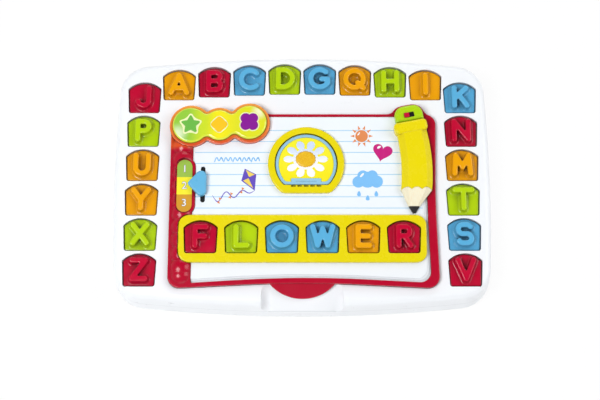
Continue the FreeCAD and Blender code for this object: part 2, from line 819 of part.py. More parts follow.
def above_ramp(solid, lift):
    """What lies above the scoop's ramp, raised by lift."""
    box = solid.BoundBox
    left, front, back = box.XMin - PAST, box.YMin - PAST, box.YMax + PAST
    low = scoop_height(front) - BODY_DEPTH
    corners = [
        Vector(left, front, low),
        Vector(left, back, low),
        Vector(left, back, scoop_height(back) + lift),
        Vector(left, front, scoop_height(front) + lift),
    ]
    wedge = Part.Face(Part.makePolygon(corners + corners[:1])).extrude(Vector(box.XLength + 2 * PAST, 0, 0))
    return solid.cut(wedge)


def scoop_block(grow, lift):
    """Space over the ramp with its lower edges rounded, from before the case to under the cover."""
    half = SCOOP_WIDTH / 2 + grow
    front = -BODY_DEPTH / 2 - SCOOP_CORNER
    back = COVER_FRONT + COVER_FRONT_SWAY + SCOOP_CORNER
    high = RIM_TOP + CLEAR_ABOVE
    space = above_ramp(Part.makeBox(2 * half, back - front, high, Vector(-half, front, 0)), lift)
    ramp = min(space.Faces, key=lambda face: face.CenterOfMass.z)
    sides = [edge for edge in ramp.Edges if edge.BoundBox.ZLength > PAST]
    return space.makeFillet(SCOOP_CORNER + grow, sides)


def badge():
    """Half-moon plate that lies on the ramp, its straight side inside the cover."""
    half = BADGE_WIDTH / 2
    moon = round_corners([
        arc(Vector(-half, BADGE_TUCK, 0), Vector(0, -BADGE_LENGTH, 0), Vector(half, BADGE_TUCK, 0)),
        line(Vector(half, BADGE_TUCK, 0), Vector(-half, BADGE_TUCK, 0)),
    ], BADGE_ROUND)
    moon_plate = soften(plate(moon, 0, BADGE_THICKNESS), BADGE_THICKNESS, BADGE_ROUND)
    back = COVER_FRONT + COVER_FRONT_SWAY
    slope = math.degrees(math.atan(scoop_height(back) - scoop_height(back - 1)))
    moon_plate.rotate(Vector(0, 0, 0), Vector(1, 0, 0), slope)
    moon_plate.translate(Vector(0, back, scoop_height(back) + FIT_GAP))
    return moon_plate


# Case shells

def screw_bosses():
    places = rim_places()
    return [places[letter] for letter in SCREWED_TILES]


def top_shell():
    outer = keep_above(case_solid(0, 0), PARTING_HEIGHT)
    cavity = case_solid(WALL, WALL)
    skin_under = RIM_TOP - WALL + OVERLAP
    added = [pocket_cup(place, RIM_SEAT, skin_under) for place in rim_places().values()]
    added += [rod(x, y, BOSS_RADIUS, POST_TOP, RIM_SEAT - POCKET_FLOOR + OVERLAP) for x, y in screw_bosses()]
    added.append(plate(grown(COVER_OUTLINE, FIT_GAP + WALL), BED_FLOOR - WALL, skin_under))
    added.append(scoop_block(WALL, -WALL).common(outer))
    added += [rod(x, y, BOSS_RADIUS, LIGHT_BOARD_TOP, BED_FLOOR) for x, y in light_board_screws()]
    shell = fused([outer.cut(cavity)] + added)
    removed = [pocket_space(place, RIM_SEAT) for place in rim_places().values()]
    removed += [rod(x, y, SCREW_RADIUS, POST_TOP, POST_TOP + SCREW_LENGTH) for x, y in screw_bosses()]
    removed.append(plate(grown(COVER_OUTLINE, FIT_GAP), BED_FLOOR, RIM_TOP + CLEAR_ABOVE))
    removed.append(scoop_block(0, 0))
    removed += bed_openings(BED_FLOOR - WALL - PAST, BED_FLOOR + PAST)
    removed += [rod(x, y, SCREW_RADIUS + SCREW_CLEARANCE, BED_FLOOR - WALL - PAST, BED_FLOOR + PAST)
                for x, y in COVER_SCREWS]
    removed += [rod(x, y, SCREW_RADIUS, LIGHT_BOARD_TOP - PAST, LIGHT_BOARD_TOP + SCREW_LENGTH)
                for x, y in light_board_screws()]
    return shell.cut(removed).Solids[0]


def box_inside():
    width = CELL_COUNT * CELL_PITCH + 2 * FIT_GAP
    length = CELL_LENGTH + CELL_NUB + 2 * CONTACT_ROOM
    return width, length


def door_ear_y():
    return BOX_Y + box_inside()[1] / 2 + BOX_WALL + DOOR_EAR_LENGTH / 2


def feet_places():
    x = BODY_WIDTH / 2 - FOOT_MARGIN_X
    y = BODY_DEPTH / 2 - FOOT_MARGIN_Y
    return [(-x, -y), (x, -y), (x, y), (-x, y)]


def grille_places():
    places = [(SPEAKER_X, SPEAKER_Y)]
    for ring in range(1, GRILLE_RINGS + 1):
        for i in range(6 * ring):
            spot = around(Vector(SPEAKER_X, SPEAKER_Y, 0), ring * GRILLE_PITCH, 60.0 * i / ring)
            places.append((spot.x, spot.y))
    return places


def bottom_shell():
    floor = FOOT_HEIGHT + WALL
    outer = keep_below(case_solid(0, 0), PARTING_HEIGHT)
    inside_lip = WALL + FIT_GAP
    lip = keep_below(case_solid(inside_lip, WALL / 2), PARTING_HEIGHT + LIP_HEIGHT)
    cavity = case_solid(inside_lip + LIP_THICKNESS, WALL)
    width, length = box_inside()
    added = [rod(x, y, POST_RADIUS, floor - OVERLAP, POST_TOP) for x, y in screw_bosses()]
    added.append(block(BOX_X, BOX_Y, width + 2 * BOX_WALL, length + 2 * BOX_WALL, SMALL_CORNER + BOX_WALL,
                       BOX_FLOOR, BOX_TOP + BOX_WALL))
    boss_top = FOOT_HEIGHT + DOOR_EAR_HEIGHT + SCREW_LENGTH
    added.append(rod(BOX_X, door_ear_y(), BOSS_RADIUS, floor - OVERLAP, boss_top))
    wall_y = BOX_Y + length / 2
    rib_length = door_ear_y() - wall_y
    added.append(block(BOX_X, wall_y + rib_length / 2, 2 * BOSS_RADIUS, rib_length, SMALL_CORNER,
                       floor - OVERLAP, boss_top))
    ring_radius = SPEAKER_RADIUS + FIT_GAP
    ring_top = floor + SPEAKER_RIM + SPEAKER_STEP
    added.append(rod(SPEAKER_X, SPEAKER_Y, ring_radius + BOX_WALL, floor - OVERLAP, ring_top))
    shell = fused([fused([outer, lip]).cut(cavity)] + added)
    head = SCREW_HEAD_RADIUS + FIT_GAP
    removed = []
    for x, y in screw_bosses():
        removed.append(rod(x, y, head, FOOT_HEIGHT - PAST, POST_TOP - POST_WEB))
        removed.append(rod(x, y, SCREW_RADIUS + SCREW_CLEARANCE, FOOT_HEIGHT, POST_TOP + PAST))
    removed += [rod(x, y, FOOT_RADIUS + FIT_GAP, FOOT_HEIGHT - PAST, FOOT_HEIGHT + FOOT_RECESS)
                for x, y in feet_places()]
    removed.append(door_plate(FIT_GAP, FOOT_HEIGHT - PAST, BOX_FLOOR))
    removed.append(door_ear(FIT_GAP, FOOT_HEIGHT - PAST, FOOT_HEIGHT + DOOR_EAR_HEIGHT))
    removed.append(block(BOX_X, BOX_Y, width, length, SMALL_CORNER, FOOT_HEIGHT, BOX_TOP))
    removed.append(rod(BOX_X, door_ear_y(), SCREW_RADIUS, floor, boss_top - PAST))
    removed.append(rod(SPEAKER_X, SPEAKER_Y, ring_radius, floor, ring_top + PAST))
    removed += [rod(x, y, GRILLE_HOLE_RADIUS, FOOT_HEIGHT - PAST, floor + PAST) for x, y in grille_places()]
    removed += battery_lead_holes()
    return shell.cut(removed).Solids[0]


def rubber_feet():
    return [rod(x, y, FOOT_RADIUS, 0, FOOT_HEIGHT + FOOT_RECESS) for x, y in feet_places()]


# Batteries

def door_plate(grow, low, high):
    width, length = box_inside()
    width += BOX_WALL + 2 * grow
    length += BOX_WALL + 2 * grow
    return block(BOX_X, BOX_Y, width, length, SMALL_CORNER + grow, low, high)


def door_ear(grow, low, high):
    back = BOX_Y + box_inside()[1] / 2 - BOX_WALL
    end = door_ear_y() + DOOR_EAR_LENGTH / 2
    width = DOOR_EAR_WIDTH + 2 * grow
    return block(BOX_X, (back + end) / 2, width, end - back + 2 * grow, SMALL_CORNER + grow, low, high)


def battery_door():
    top = BOX_FLOOR - FIT_GAP / 2
    pad = rod(BOX_X, door_ear_y(), SCREW_HEAD_RADIUS + POST_WEB, FOOT_HEIGHT, FOOT_HEIGHT + DOOR_EAR_HEIGHT)
    door = fused([door_plate(0, FOOT_HEIGHT, top), door_ear(0, FOOT_HEIGHT, top), pad])
    head_room = FOOT_HEIGHT + DOOR_EAR_HEIGHT - POST_WEB
    door = door.cut(rod(BOX_X, door_ear_y(), SCREW_HEAD_RADIUS + FIT_GAP, FOOT_HEIGHT - PAST, head_room))
    hole_radius = SCREW_RADIUS + SCREW_CLEARANCE
    return door.cut(rod(BOX_X, door_ear_y(), hole_radius, FOOT_HEIGHT, head_room + CLEAR_ABOVE))


def cell_x(i):
    return BOX_X + (i - (CELL_COUNT - 1) / 2) * CELL_PITCH


def battery_cells():
    """Cells side by side, every second one turned end for end."""
    cells = []
    total = CELL_LENGTH + CELL_NUB
    for i in range(CELL_COUNT):
        facing = 1 if i % 2 else -1
        start = Vector(cell_x(i), BOX_Y - facing * total / 2, CELL_AXIS)
        can = Part.makeCylinder(CELL_RADIUS, CELL_LENGTH, start, Vector(0, facing, 0))
        nub_start = start + Vector(0, facing * (CELL_LENGTH - OVERLAP), 0)
        nub = Part.makeCylinder(CELL_NUB_RADIUS, CELL_NUB + OVERLAP, nub_start, Vector(0, facing, 0))
        cells.append(fused([can, nub]))
    return cells


def battery_contacts():
    """A leaf at each end of each cell, with a coned spring at its flat end and a dimple at its nub."""
    contacts = []
    end = box_inside()[1] / 2
    for i in range(CELL_COUNT):
        facing = 1 if i % 2 else -1
        for side in (-1, 1):
            y = BOX_Y + side * (end - CONTACT_THICKNESS / 2)
            half = CONTACT_SIZE / 2
            corner = Vector(cell_x(i) - half, y - CONTACT_THICKNESS / 2, CELL_AXIS - half)
            leaf = Part.makeBox(CONTACT_SIZE, CONTACT_THICKNESS, CONTACT_SIZE, corner)
            reach = CONTACT_ROOM - FIT_GAP / 2
            wide = CELL_NUB_RADIUS if side == facing else CONTACT_SPRING_RADIUS
            foot = Vector(cell_x(i), BOX_Y + side * end, CELL_AXIS)
            cone = Part.makeCone(wide, wide / 2, reach, foot, Vector(0, -side, 0))
            contacts.append(fused([leaf, cone]))
    return contacts


# Notebook

def scale_boss(grow, low, high):
    """Raised plate that carries the level scale and stands into the pages' left edge."""
    width = SCALE_WIDTH + 2 * (SCALE_BORDER + grow)
    length = SCALE_LENGTH + 2 * (SCALE_BORDER + grow)
    return stadium(SCALE_X, SCALE_Y, width, length, low, high)


def notebook_cover():
    base = plate(COVER_OUTLINE, BED_FLOOR, SHEET_TOP)
    base = soften(base, SHEET_TOP, COVER_EDGE_ROUND)
    boss_top = SHEET_TOP + SCALE_BOSS_RISE
    boss = soften(scale_boss(0, BED_FLOOR + OVERLAP, boss_top), boss_top, COVER_EDGE_ROUND)
    page_room = plate(grown(page_outline(0), FIT_GAP), COVER_TOP, boss_top + PAST)
    cover = fused([base, spine(boss_top), badge()]).cut(page_room)
    cover = fused([cover, boss])
    removed = [plate(grown(BEZEL_OUTLINE, FIT_GAP), COVER_TOP, RIM_TOP + CLEAR_ABOVE)]
    removed.append(plate(grown(tray_outline(), FIT_GAP), PAGE_TOP, RIM_TOP + CLEAR_ABOVE))
    removed += bed_openings(BED_FLOOR - PAST, COVER_TOP + CLEAR_ABOVE)
    removed.append(track_block(FIT_GAP, COVER_TOP - TRACK_THICKNESS, COVER_TOP + PAST))
    removed.append(reader_block(FIT_GAP, COVER_TOP - BOARD_THICKNESS - FIT_GAP, COVER_TOP + PAST))
    removed += [rod(x, y, SCREW_RADIUS, BED_FLOOR - PAST, BED_FLOOR - WALL + SCREW_LENGTH)
                for x, y in COVER_SCREWS]
    return cover.cut(removed).Solids[0]


def spine(boss_top):
    """Ribbed half-round spine along the cover's left edge, ending in a ball at the front."""
    valley = SPINE_RADIUS - SPINE_RIB_DEPTH
    axis_z = SHEET_TOP - SPINE_SINK
    start = SPINE_FRONT
    end = SPINE_FRONT + SPINE_RIBS * SPINE_PITCH
    edges = [line(Vector(SPINE_X, start, axis_z), Vector(SPINE_X, start, axis_z + valley))]
    for i in range(SPINE_RIBS):
        y = start + i * SPINE_PITCH
        edges.append(arc(
            Vector(SPINE_X, y, axis_z + valley),
            Vector(SPINE_X, y + SPINE_PITCH / 2, axis_z + SPINE_RADIUS),
            Vector(SPINE_X, y + SPINE_PITCH, axis_z + valley),
        ))
    edges.append(line(Vector(SPINE_X, end, axis_z + valley), Vector(SPINE_X, end, axis_z)))
    edges.append(line(Vector(SPINE_X, end, axis_z), Vector(SPINE_X, start, axis_z)))
    ribs = Part.Face(Part.Wire(edges)).revolve(Vector(SPINE_X, 0, axis_z), Vector(0, 1, 0), 360)
    ball = Part.makeSphere(SPINE_BALL, Vector(SPINE_X, start, axis_z))
    ridge = keep_above(fused([ribs, ball]), COVER_TOP)
    label_room = stadium(SCALE_X, SCALE_Y, SCALE_WIDTH + SCALE_BORDER, SCALE_LENGTH + SCALE_BORDER,
                         boss_top, boss_top + CLEAR_ABOVE)
    return ridge.cut(label_room).Solids[0]


def page_block():
    layers = []
    for i in range(PAGE_LAYERS):
        low = COVER_TOP + i * PAGE_LAYER
        layers.append(plate(page_outline(i * PAGE_STEP), low, low + PAGE_LAYER))
    pages = fused(layers)
    removed = [tray_well(COVER_TOP - PAST, PAGE_TOP + PAST)]
    removed.append(plate(grown(BEZEL_OUTLINE, FIT_GAP), COVER_TOP - PAST, PAGE_TOP + PAST))
    removed.append(plate(grown(ring_outline(-RING_TUCK), FIT_GAP), COVER_TOP - PAST, PAGE_TOP + PAST))
    removed.append(slider_slot(COVER_TOP - PAST, PAGE_TOP + PAST))
    removed.append(foot_groove())
    removed.append(scale_boss(FIT_GAP, COVER_TOP - PAST, PAGE_TOP + PAST))
    return pages.cut(removed).Solids[0]


def page_sheet():
    wire = grown(page_outline((PAGE_LAYERS - 1) * PAGE_STEP), -SHEET_MARGIN)
    sheet = plate(wire, PAGE_TOP, SHEET_TOP)
    tray_back = TRAY_Y + TRAY_LENGTH / 2 + SHEET_MARGIN
    size = BODY_WIDTH + BODY_DEPTH
    corner = Vector(-size / 2, tray_back - size, PAGE_TOP - PAST)
    removed = [Part.makeBox(size, size, CLEAR_ABOVE, corner)]
    removed.append(plate(grown(BEZEL_OUTLINE, FIT_GAP), PAGE_TOP - PAST, SHEET_TOP + PAST))
    removed.append(plate(grown(ring_outline(-RING_TUCK), FIT_GAP), PAGE_TOP - PAST, SHEET_TOP + PAST))
    removed.append(slider_slot(PAGE_TOP - PAST, SHEET_TOP + PAST))
    removed.append(scale_boss(FIT_GAP, PAGE_TOP - PAST, SHEET_TOP + PAST))
    return sheet.cut(removed).Solids[0]


def word_tray():
    flange = soften(plate(tray_outline(), PAGE_TOP, TRAY_TOP), TRAY_TOP, TRAY_ROUND)
    pieces = [flange]
    pieces += [pocket_cup(place, TRAY_SEAT, PAGE_TOP + OVERLAP) for place in tray_places().values()]
    pieces += [rod(x, y, TRAY_BOSS_RADIUS, BOARD_TOP, PAGE_TOP + OVERLAP) for x, y in tray_screws()]
    tray = fused(pieces)
    removed = [pocket_space(place, TRAY_SEAT) for place in tray_places().values()]
    for place in tray_places().values():
        removed += [rod(*spot, NUB_RADIUS + FIT_GAP, PAD_TOP - PAST, TRAY_SEAT + PAST)
                    for spot in peg_places(place)]
    removed += [rod(x, y, SCREW_RADIUS, BOARD_TOP - PAST, BOARD_TOP - BOARD_THICKNESS + SCREW_LENGTH)
                for x, y in tray_screws()]
    return tray.cut(removed).Solids[0]


def tray_screws():
    """Between neighbouring tiles, where the arched tops leave room."""
    return [((i - (len(WORD) - 2) / 2) * TRAY_PITCH, TRAY_SCREW_Y) for i in range(0, len(WORD) - 1, 2)]


# Picture card

def card_outline(grow):
    """Disc with a flat towards the front, its two corners rounded."""
    radius = CARD_RADIUS + grow
    flat = CARD_FLAT + grow
    half = math.sqrt(radius * radius - flat * flat)
    left = Vector(CARD_X - half, CARD_Y - flat, 0)
    right = Vector(CARD_X + half, CARD_Y - flat, 0)
    edges = [line(left, right), arc(right, Vector(CARD_X, CARD_Y + radius, 0), left)]
    return round_corners(edges, CARD_CORNER)


def ring_outline(grow):
    radius = CARD_RADIUS + CARD_GAP + RING_WIDTH + grow
    flat = CARD_FLAT + CARD_GAP + RING_FLAT_WIDTH + grow
    half = math.sqrt(radius * radius - flat * flat)
    left = Vector(CARD_X - half, CARD_Y - flat, 0)
    right = Vector(CARD_X + half, CARD_Y - flat, 0)
    edges = [line(left, right), arc(right, Vector(CARD_X, CARD_Y + radius, 0), left)]
    return round_corners(edges, RING_CORNER)


def tooth_notches(low, high):
    """Notches between the teeth, in the holder's inner flat side."""
    y = CARD_Y - CARD_FLAT - CARD_GAP - TOOTH_DEPTH / 2
    notch = TOOTH_PITCH - TOOTH_WIDTH
    spots = [(i - TOOTH_COUNT / 2) * TOOTH_PITCH for i in range(TOOTH_COUNT + 1)]
    return [block(CARD_X + spot, y, notch, TOOTH_DEPTH + PAST, TOOTH_CORNER, low, high) for spot in spots]


def card_holder():
    ring = plate(ring_outline(0), SHEET_TOP, RING_TOP)
    ring = soften(ring, RING_TOP, RING_ROUND)
    body = plate(ring_outline(-RING_TUCK), COVER_TOP, SHEET_TOP + OVERLAP)
    floor = COVER_TOP + RING_FLOOR
    removed = [plate(card_outline(CARD_GAP), floor, RING_TOP + PAST)]
    removed += tooth_notches(floor, RING_TOP + PAST)
    removed += [rod(x, y, NUB_RADIUS + FIT_GAP, COVER_TOP - PAST, floor + PAST) for x, y in reader_nubs()]
    return fused([ring, body]).cut(removed).Solids[0]


def strip_y():
    return CARD_Y - CARD_FLAT + CARD_STRIP_DEPTH / 2


def strip_outline():
    return rectangle(CARD_X, strip_y(), CARD_STRIP_WIDTH, CARD_STRIP_DEPTH, SMALL_CORNER)


def print_space(grow, low, high):
    strip = plate(grown(strip_outline(), -grow), low - PAST, high + PAST)
    return plate(card_outline(grow - CARD_RIM), low, high).cut(strip).Solids[0]


def picture_card():
    low = COVER_TOP + RING_FLOOR
    top = low + CARD_THICKNESS
    card = soften(plate(card_outline(0), low, top), top, CARD_RECESS / 2)
    card = card.cut(print_space(0, top - CARD_RECESS, top + PAST))
    groove = block(CARD_X, strip_y(), CARD_GROOVE_WIDTH, CARD_GROOVE, CARD_GROOVE / 4,
                   top - CARD_GROOVE / 2, top + PAST)
    return card.cut(groove).Solids[0]


def card_print():
    low = COVER_TOP + RING_FLOOR + CARD_THICKNESS - CARD_RECESS
    return print_space(-FIT_GAP, low, low + PRINT_THICKNESS)


def reader_y():
    return CARD_Y - CARD_FLAT + CARD_RIM + READER_LENGTH / 2


def reader_nubs():
    return [(CARD_X + (bit - (CODE_BITS - 1) / 2) * TOOTH_PITCH, reader_y()) for bit in range(CODE_BITS)]


def reader_block(grow, low, high):
    width = READER_WIDTH + 2 * grow
    length = READER_LENGTH + 2 * grow
    return block(CARD_X, reader_y(), width, length, SMALL_CORNER + grow, low, high)


def card_reader():
    board = reader_block(0, COVER_TOP - BOARD_THICKNESS, COVER_TOP)
    top = COVER_TOP + RING_FLOOR - FIT_GAP
    return fused([board] + [rod(x, y, NUB_RADIUS, COVER_TOP - OVERLAP, top) for x, y in reader_nubs()])


# Level pointer

def foot_groove():
    length = STEM_LENGTH + 2 * (LEVEL_TRAVEL + SLOT_GAP)
    high = COVER_TOP + SLIDER_FOOT_HEIGHT + 2 * FIT_GAP
    return block(SLIDER_X, SLIDER_Y, SLIDER_FOOT + 2 * SLOT_GAP, length, SMALL_CORNER, COVER_TOP - PAST, high)


def level_slider():
    low = SHEET_TOP + FIT_GAP
    over_scale = SHEET_TOP + SCALE_BOSS_RISE + SCALE_THICKNESS + FIT_GAP
    top = SHEET_TOP + POINTER_TOP_RISE
    tip = (SLIDER_X - POINTER_REACH, SLIDER_Y, POINTER_TIP)
    back = SLIDER_X + POINTER_BACK
    wire = outline([
        tip,
        (back, SLIDER_Y - POINTER_HALF, POINTER_CORNER),
        (back, SLIDER_Y + POINTER_HALF, POINTER_CORNER),
    ])
    head = soften(plate(wire, over_scale, top), top, POINTER_ROUND)
    scale_edge = SCALE_X + SCALE_WIDTH / 2 + SCALE_BORDER + FIT_GAP
    size = BODY_WIDTH
    under = plate(wire, low, over_scale + OVERLAP)
    under = under.cut(Part.makeBox(size, size, size, Vector(scale_edge - size, -size / 2, 0)))
    foot_low = COVER_TOP + FIT_GAP
    foot = block(SLIDER_X, SLIDER_Y, SLIDER_FOOT, STEM_LENGTH, SMALL_CORNER,
                 foot_low, foot_low + SLIDER_FOOT_HEIGHT)
    stem = stadium(SLIDER_X, SLIDER_Y, STEM_WIDTH, STEM_LENGTH, foot_low + OVERLAP, over_scale + OVERLAP)
    return fused([head, under, foot, stem])


def track_block(grow, low, high):
    length = STEM_LENGTH + 2 * (LEVEL_TRAVEL + TRACK_MARGIN + grow)
    width = SLIDER_FOOT + 2 * (SLOT_GAP + grow)
    return block(SLIDER_X, SLIDER_Y, width, length, SMALL_CORNER + grow, low, high)


def slider_track():
    return track_block(0, COVER_TOP - TRACK_THICKNESS, COVER_TOP)


def level_scale():
    low = SHEET_TOP + SCALE_BOSS_RISE
    return stadium(SCALE_X, SCALE_Y, SCALE_WIDTH, SCALE_LENGTH, low, low + SCALE_THICKNESS)


# Lit button

def lens_bezel():
    ring = soften(plate(BEZEL_OUTLINE, COVER_TOP, BEZEL_TOP), BEZEL_TOP, BEZEL_ROUND)
    lip = BEZEL_TOP - BEZEL_LIP
    ring = ring.cut(plate(grown(BUTTON_OUTLINE, BUTTON_GAP), lip - PAST, BEZEL_TOP + PAST))
    return ring.cut(plate(grown(BUTTON_OUTLINE, BUTTON_GAP + BUTTON_FLANGE), COVER_TOP - PAST, lip)).Solids[0]


def light_button():
    flange_top = BEZEL_TOP - BEZEL_LIP - FIT_GAP
    flange_low = flange_top - BUTTON_FLANGE_HEIGHT
    lens = soften(plate(BUTTON_OUTLINE, flange_low, BUTTON_TOP), BUTTON_TOP, BUTTON_ROUND)
    flange = plate(grown(BUTTON_OUTLINE, BUTTON_FLANGE), flange_low, flange_top)
    hollow = plate(grown(BUTTON_OUTLINE, -BUTTON_WALL), flange_low - PAST, BUTTON_TOP - BUTTON_WALL)
    cap = fused([lens, flange]).cut(hollow)
    stem_low = LIGHT_BOARD_TOP + DOME_HEIGHT
    stem = rod(*stem_place(), BUTTON_STEM_RADIUS, stem_low, BUTTON_TOP - BUTTON_WALL + OVERLAP)
    return fused([cap, stem])


def star(x, y, size):
    points = [around(Vector(x, y, 0), size / 2 if i % 2 else size, 90 + 36 * i) for i in range(10)]
    return outline([(p.x, p.y, STAR_CORNER) for p in points])


def motif_outlines():
    """A star, a diamond and a four-leaved clover, one on each lobe."""
    left, middle, right = [Vector(x, y, 0) for x, y, radius in LOBES]
    diamond = [around(middle, MOTIF_SIZE, 90 * i) for i in range(4)]
    leaves = [around(right, LEAF_RADIUS, 45 + 90 * i) for i in range(4)]
    clover = merge_outlines([Part.Wire(Part.makeCircle(LEAF_RADIUS, leaf)) for leaf in leaves])
    return [star(left.x, left.y, STAR_SIZE), outline([(p.x, p.y, DIAMOND_CORNER) for p in diamond]), clover]


def button_motifs():
    top = BUTTON_TOP + MOTIF_RISE
    return [soften(plate(wire, BUTTON_TOP, top), top, MOTIF_ROUND) for wire in motif_outlines()]


def light_board_screws():
    x, y = LOBES[1][:2]
    reach = LIGHT_BOARD_WIDTH / 2 - BOSS_RADIUS
    return [(x - reach, y - LIGHT_BOARD_LENGTH / 4), (x + reach, y - LIGHT_BOARD_LENGTH / 4)]


def light_board():
    x, y = LOBES[1][:2]
    low = LIGHT_BOARD_TOP - BOARD_THICKNESS
    board = block(x, y, LIGHT_BOARD_WIDTH, LIGHT_BOARD_LENGTH, BOARD_CORNER, low, LIGHT_BOARD_TOP)
    board = board.cut([rod(*place, SCREW_RADIUS + SCREW_CLEARANCE, low - PAST, LIGHT_BOARD_TOP + PAST)
                       for place in light_board_screws()])
    lamps = []
    for lamp_x, lamp_y in lamp_places():
        top = LIGHT_BOARD_TOP + LAMP_HEIGHT
        stalk = rod(lamp_x, lamp_y, LAMP_RADIUS, LIGHT_BOARD_TOP, top - LAMP_RADIUS)
        dome = Part.makeSphere(LAMP_RADIUS, Vector(lamp_x, lamp_y, top - LAMP_RADIUS))
        lamps.append(fused([stalk, keep_above(dome, top - LAMP_RADIUS)]))
    return [board.Solids[0]] + lamps


def button_dome():
    x, y = stem_place()
    low = LIGHT_BOARD_TOP
    skirt = rod(x, y, DOME_RADIUS, low, low + DOME_SKIRT)
    cap = rod(x, y, DOME_CAP_RADIUS, low + DOME_SKIRT - OVERLAP, low + DOME_HEIGHT)
    hollow = rod(x, y, DOME_RADIUS - DOME_WALL, low - PAST, low + DOME_SKIRT - DOME_WALL)
    return fused([skirt, cap]).cut(hollow).Solids[0]


# Pencil

def pencil_section(x, y, width, height):
    """Upper half of a six-sided pencil, standing on the page."""
    half = width / 2
    share = width / PENCIL_WIDTH
    facet = PENCIL_FACET * share
    drop = PENCIL_FACET_DROP * share
    low = SHEET_TOP
    points = [
        Vector(x - half, y, low),
        Vector(x - half, y, low + height - drop),
        Vector(x - half + facet, y, low + height),
        Vector(x + half - facet, y, low + height),
        Vector(x + half, y, low + height - drop),
        Vector(x + half, y, low),
    ]
    return Part.makePolygon(points + points[:1])


def scallops(radius):
    """Three rounded ends of the paint, one on each facet."""
    y = PENCIL_SHOULDER_Y + SCALLOP_REACH - SCALLOP_RADIUS
    pitch = PENCIL_WIDTH / 3
    high = SHEET_TOP + PENCIL_HEIGHT + PAST
    return [rod(PENCIL_X + side * pitch, y, radius, SHEET_TOP - PAST, high) for side in (-1, 0, 1)]


def barrel_loft(inset):
    width = PENCIL_WIDTH - 2 * inset
    height = PENCIL_HEIGHT - inset
    sections = [
        pencil_section(PENCIL_X, PENCIL_SHOULDER_Y + 2 * inset, width, height),
        pencil_section(PENCIL_X + PENCIL_BEND_SHIFT, PENCIL_BEND_Y, width, height),
        pencil_section(COLLAR_X, COLLAR_Y - inset, width, height),
    ]
    return Part.makeLoft(sections, True, False)


def pencil_barrel():
    body = barrel_loft(0).cut(barrel_loft(PENCIL_WALL)).cut(scallops(SCALLOP_RADIUS)).Solids[0]
    top = SHEET_TOP + PENCIL_HEIGHT + COLLAR_RISE
    width = PENCIL_WIDTH + 2 * COLLAR_PROUD
    collar = block(COLLAR_X, COLLAR_Y, width, COLLAR_LENGTH - 2 * FIT_GAP, COLLAR_CORNER, SHEET_TOP, top)
    return fused([body, leaning(soften(collar, top, COLLAR_ROUND), COLLAR_X, COLLAR_Y)])


def lead_section():
    return pencil_section(PENCIL_X + PENCIL_TIP_SHIFT, PENCIL_WOOD_Y, LEAD_WIDTH, LEAD_HEIGHT)


def pencil_wood():
    width = PENCIL_WIDTH - 2 * FIT_GAP
    shoulder = pencil_section(PENCIL_X, PENCIL_SHOULDER_Y, width, PENCIL_HEIGHT - FIT_GAP)
    cone = Part.makeLoft([shoulder, lead_section()], True, True)
    neck = Part.Face(shoulder).extrude(Vector(0, SCALLOP_REACH, 0))
    ends = [end.common(neck) for end in scallops(SCALLOP_RADIUS - FIT_GAP / 2)]
    return fused([cone] + ends)


def pencil_lead():
    tip = pencil_section(PENCIL_X + PENCIL_TIP_SHIFT, PENCIL_TIP_Y, TIP_WIDTH, TIP_HEIGHT)
    return Part.makeLoft([lead_section(), tip], True, True)


def pencil_eraser():
    top = SHEET_TOP + ERASER_HEIGHT
    cap = soften(plate(eraser_outline(), SHEET_TOP, top), top, ERASER_ROUND)
    cap = cap.cut(plate(grown(eraser_outline(), -ERASER_WALL), SHEET_TOP - PAST, top - ERASER_WALL))
    slot = block(SWITCH_X, SWITCH_Y, SWITCH_SLOT_LENGTH, SWITCH_SLOT_WIDTH, SMALL_CORNER,
                 SHEET_TOP, top + PAST)
    return cap.cut(leaning(slot, SWITCH_X, SWITCH_Y)).Solids[0]


def power_switch():
    top = SHEET_TOP + ERASER_HEIGHT - ERASER_WALL
    body = block(SWITCH_X, SWITCH_Y, SWITCH_BODY_WIDTH, SWITCH_BODY_LENGTH, SMALL_CORNER, SHEET_TOP, top)
    return leaning(body, SWITCH_X, SWITCH_Y)


def power_knob():
    low = SHEET_TOP + ERASER_HEIGHT - ERASER_WALL
    high = SHEET_TOP + ERASER_HEIGHT + KNOB_PROUD
    length = SWITCH_SLOT_LENGTH - SWITCH_TRAVEL - 2 * FIT_GAP
    x = SWITCH_X - SWITCH_TRAVEL / 2
    knob = block(x, SWITCH_Y, length, SWITCH_SLOT_WIDTH - 2 * FIT_GAP, SMALL_CORNER, low, high)
    return leaning(soften(knob, high, KNOB_ROUND), SWITCH_X, SWITCH_Y)


# Boards, speaker and leads

def main_board():
    width = TRAY_TILES_WIDTH + 2 * MAIN_BOARD_MARGIN
    length = TILE_LENGTH + 2 * MAIN_BOARD_MARGIN
    low = BOARD_TOP - BOARD_THICKNESS
    board = block(0, TRAY_TILE_Y, width, length, BOARD_CORNER, low, BOARD_TOP)
    hole_radius = SCREW_RADIUS + SCREW_CLEARANCE
    holes = [rod(x, y, hole_radius, low - PAST, BOARD_TOP + PAST) for x, y in tray_screws()]
    return board.cut(holes).Solids[0]


def board_chips():
    top = BOARD_TOP - BOARD_THICKNESS
    places = (-CHIP_SPREAD, CHIP_SPREAD)
    chips = [block(x, CHIP_Y, CHIP_WIDTH, CHIP_WIDTH, SMALL_CORNER, top - CHIP_HEIGHT, top) for x in places]
    chips.append(rod(0, CHIP_Y, CAN_RADIUS, top - CAN_HEIGHT, top))
    return chips


def tile_sensor_pad():
    mat = block(0, TRAY_TILE_Y + PEG_ROW, TRAY_TILES_WIDTH, PAD_LENGTH, BOARD_CORNER, BOARD_TOP, PAD_TOP)
    nubs = []
    for place in tray_places().values():
        nubs += [rod(*spot, NUB_RADIUS, PAD_TOP - OVERLAP, TRAY_SEAT + NUB_PROUD)
                 for spot in peg_places(place)]
    return fused([mat] + nubs)


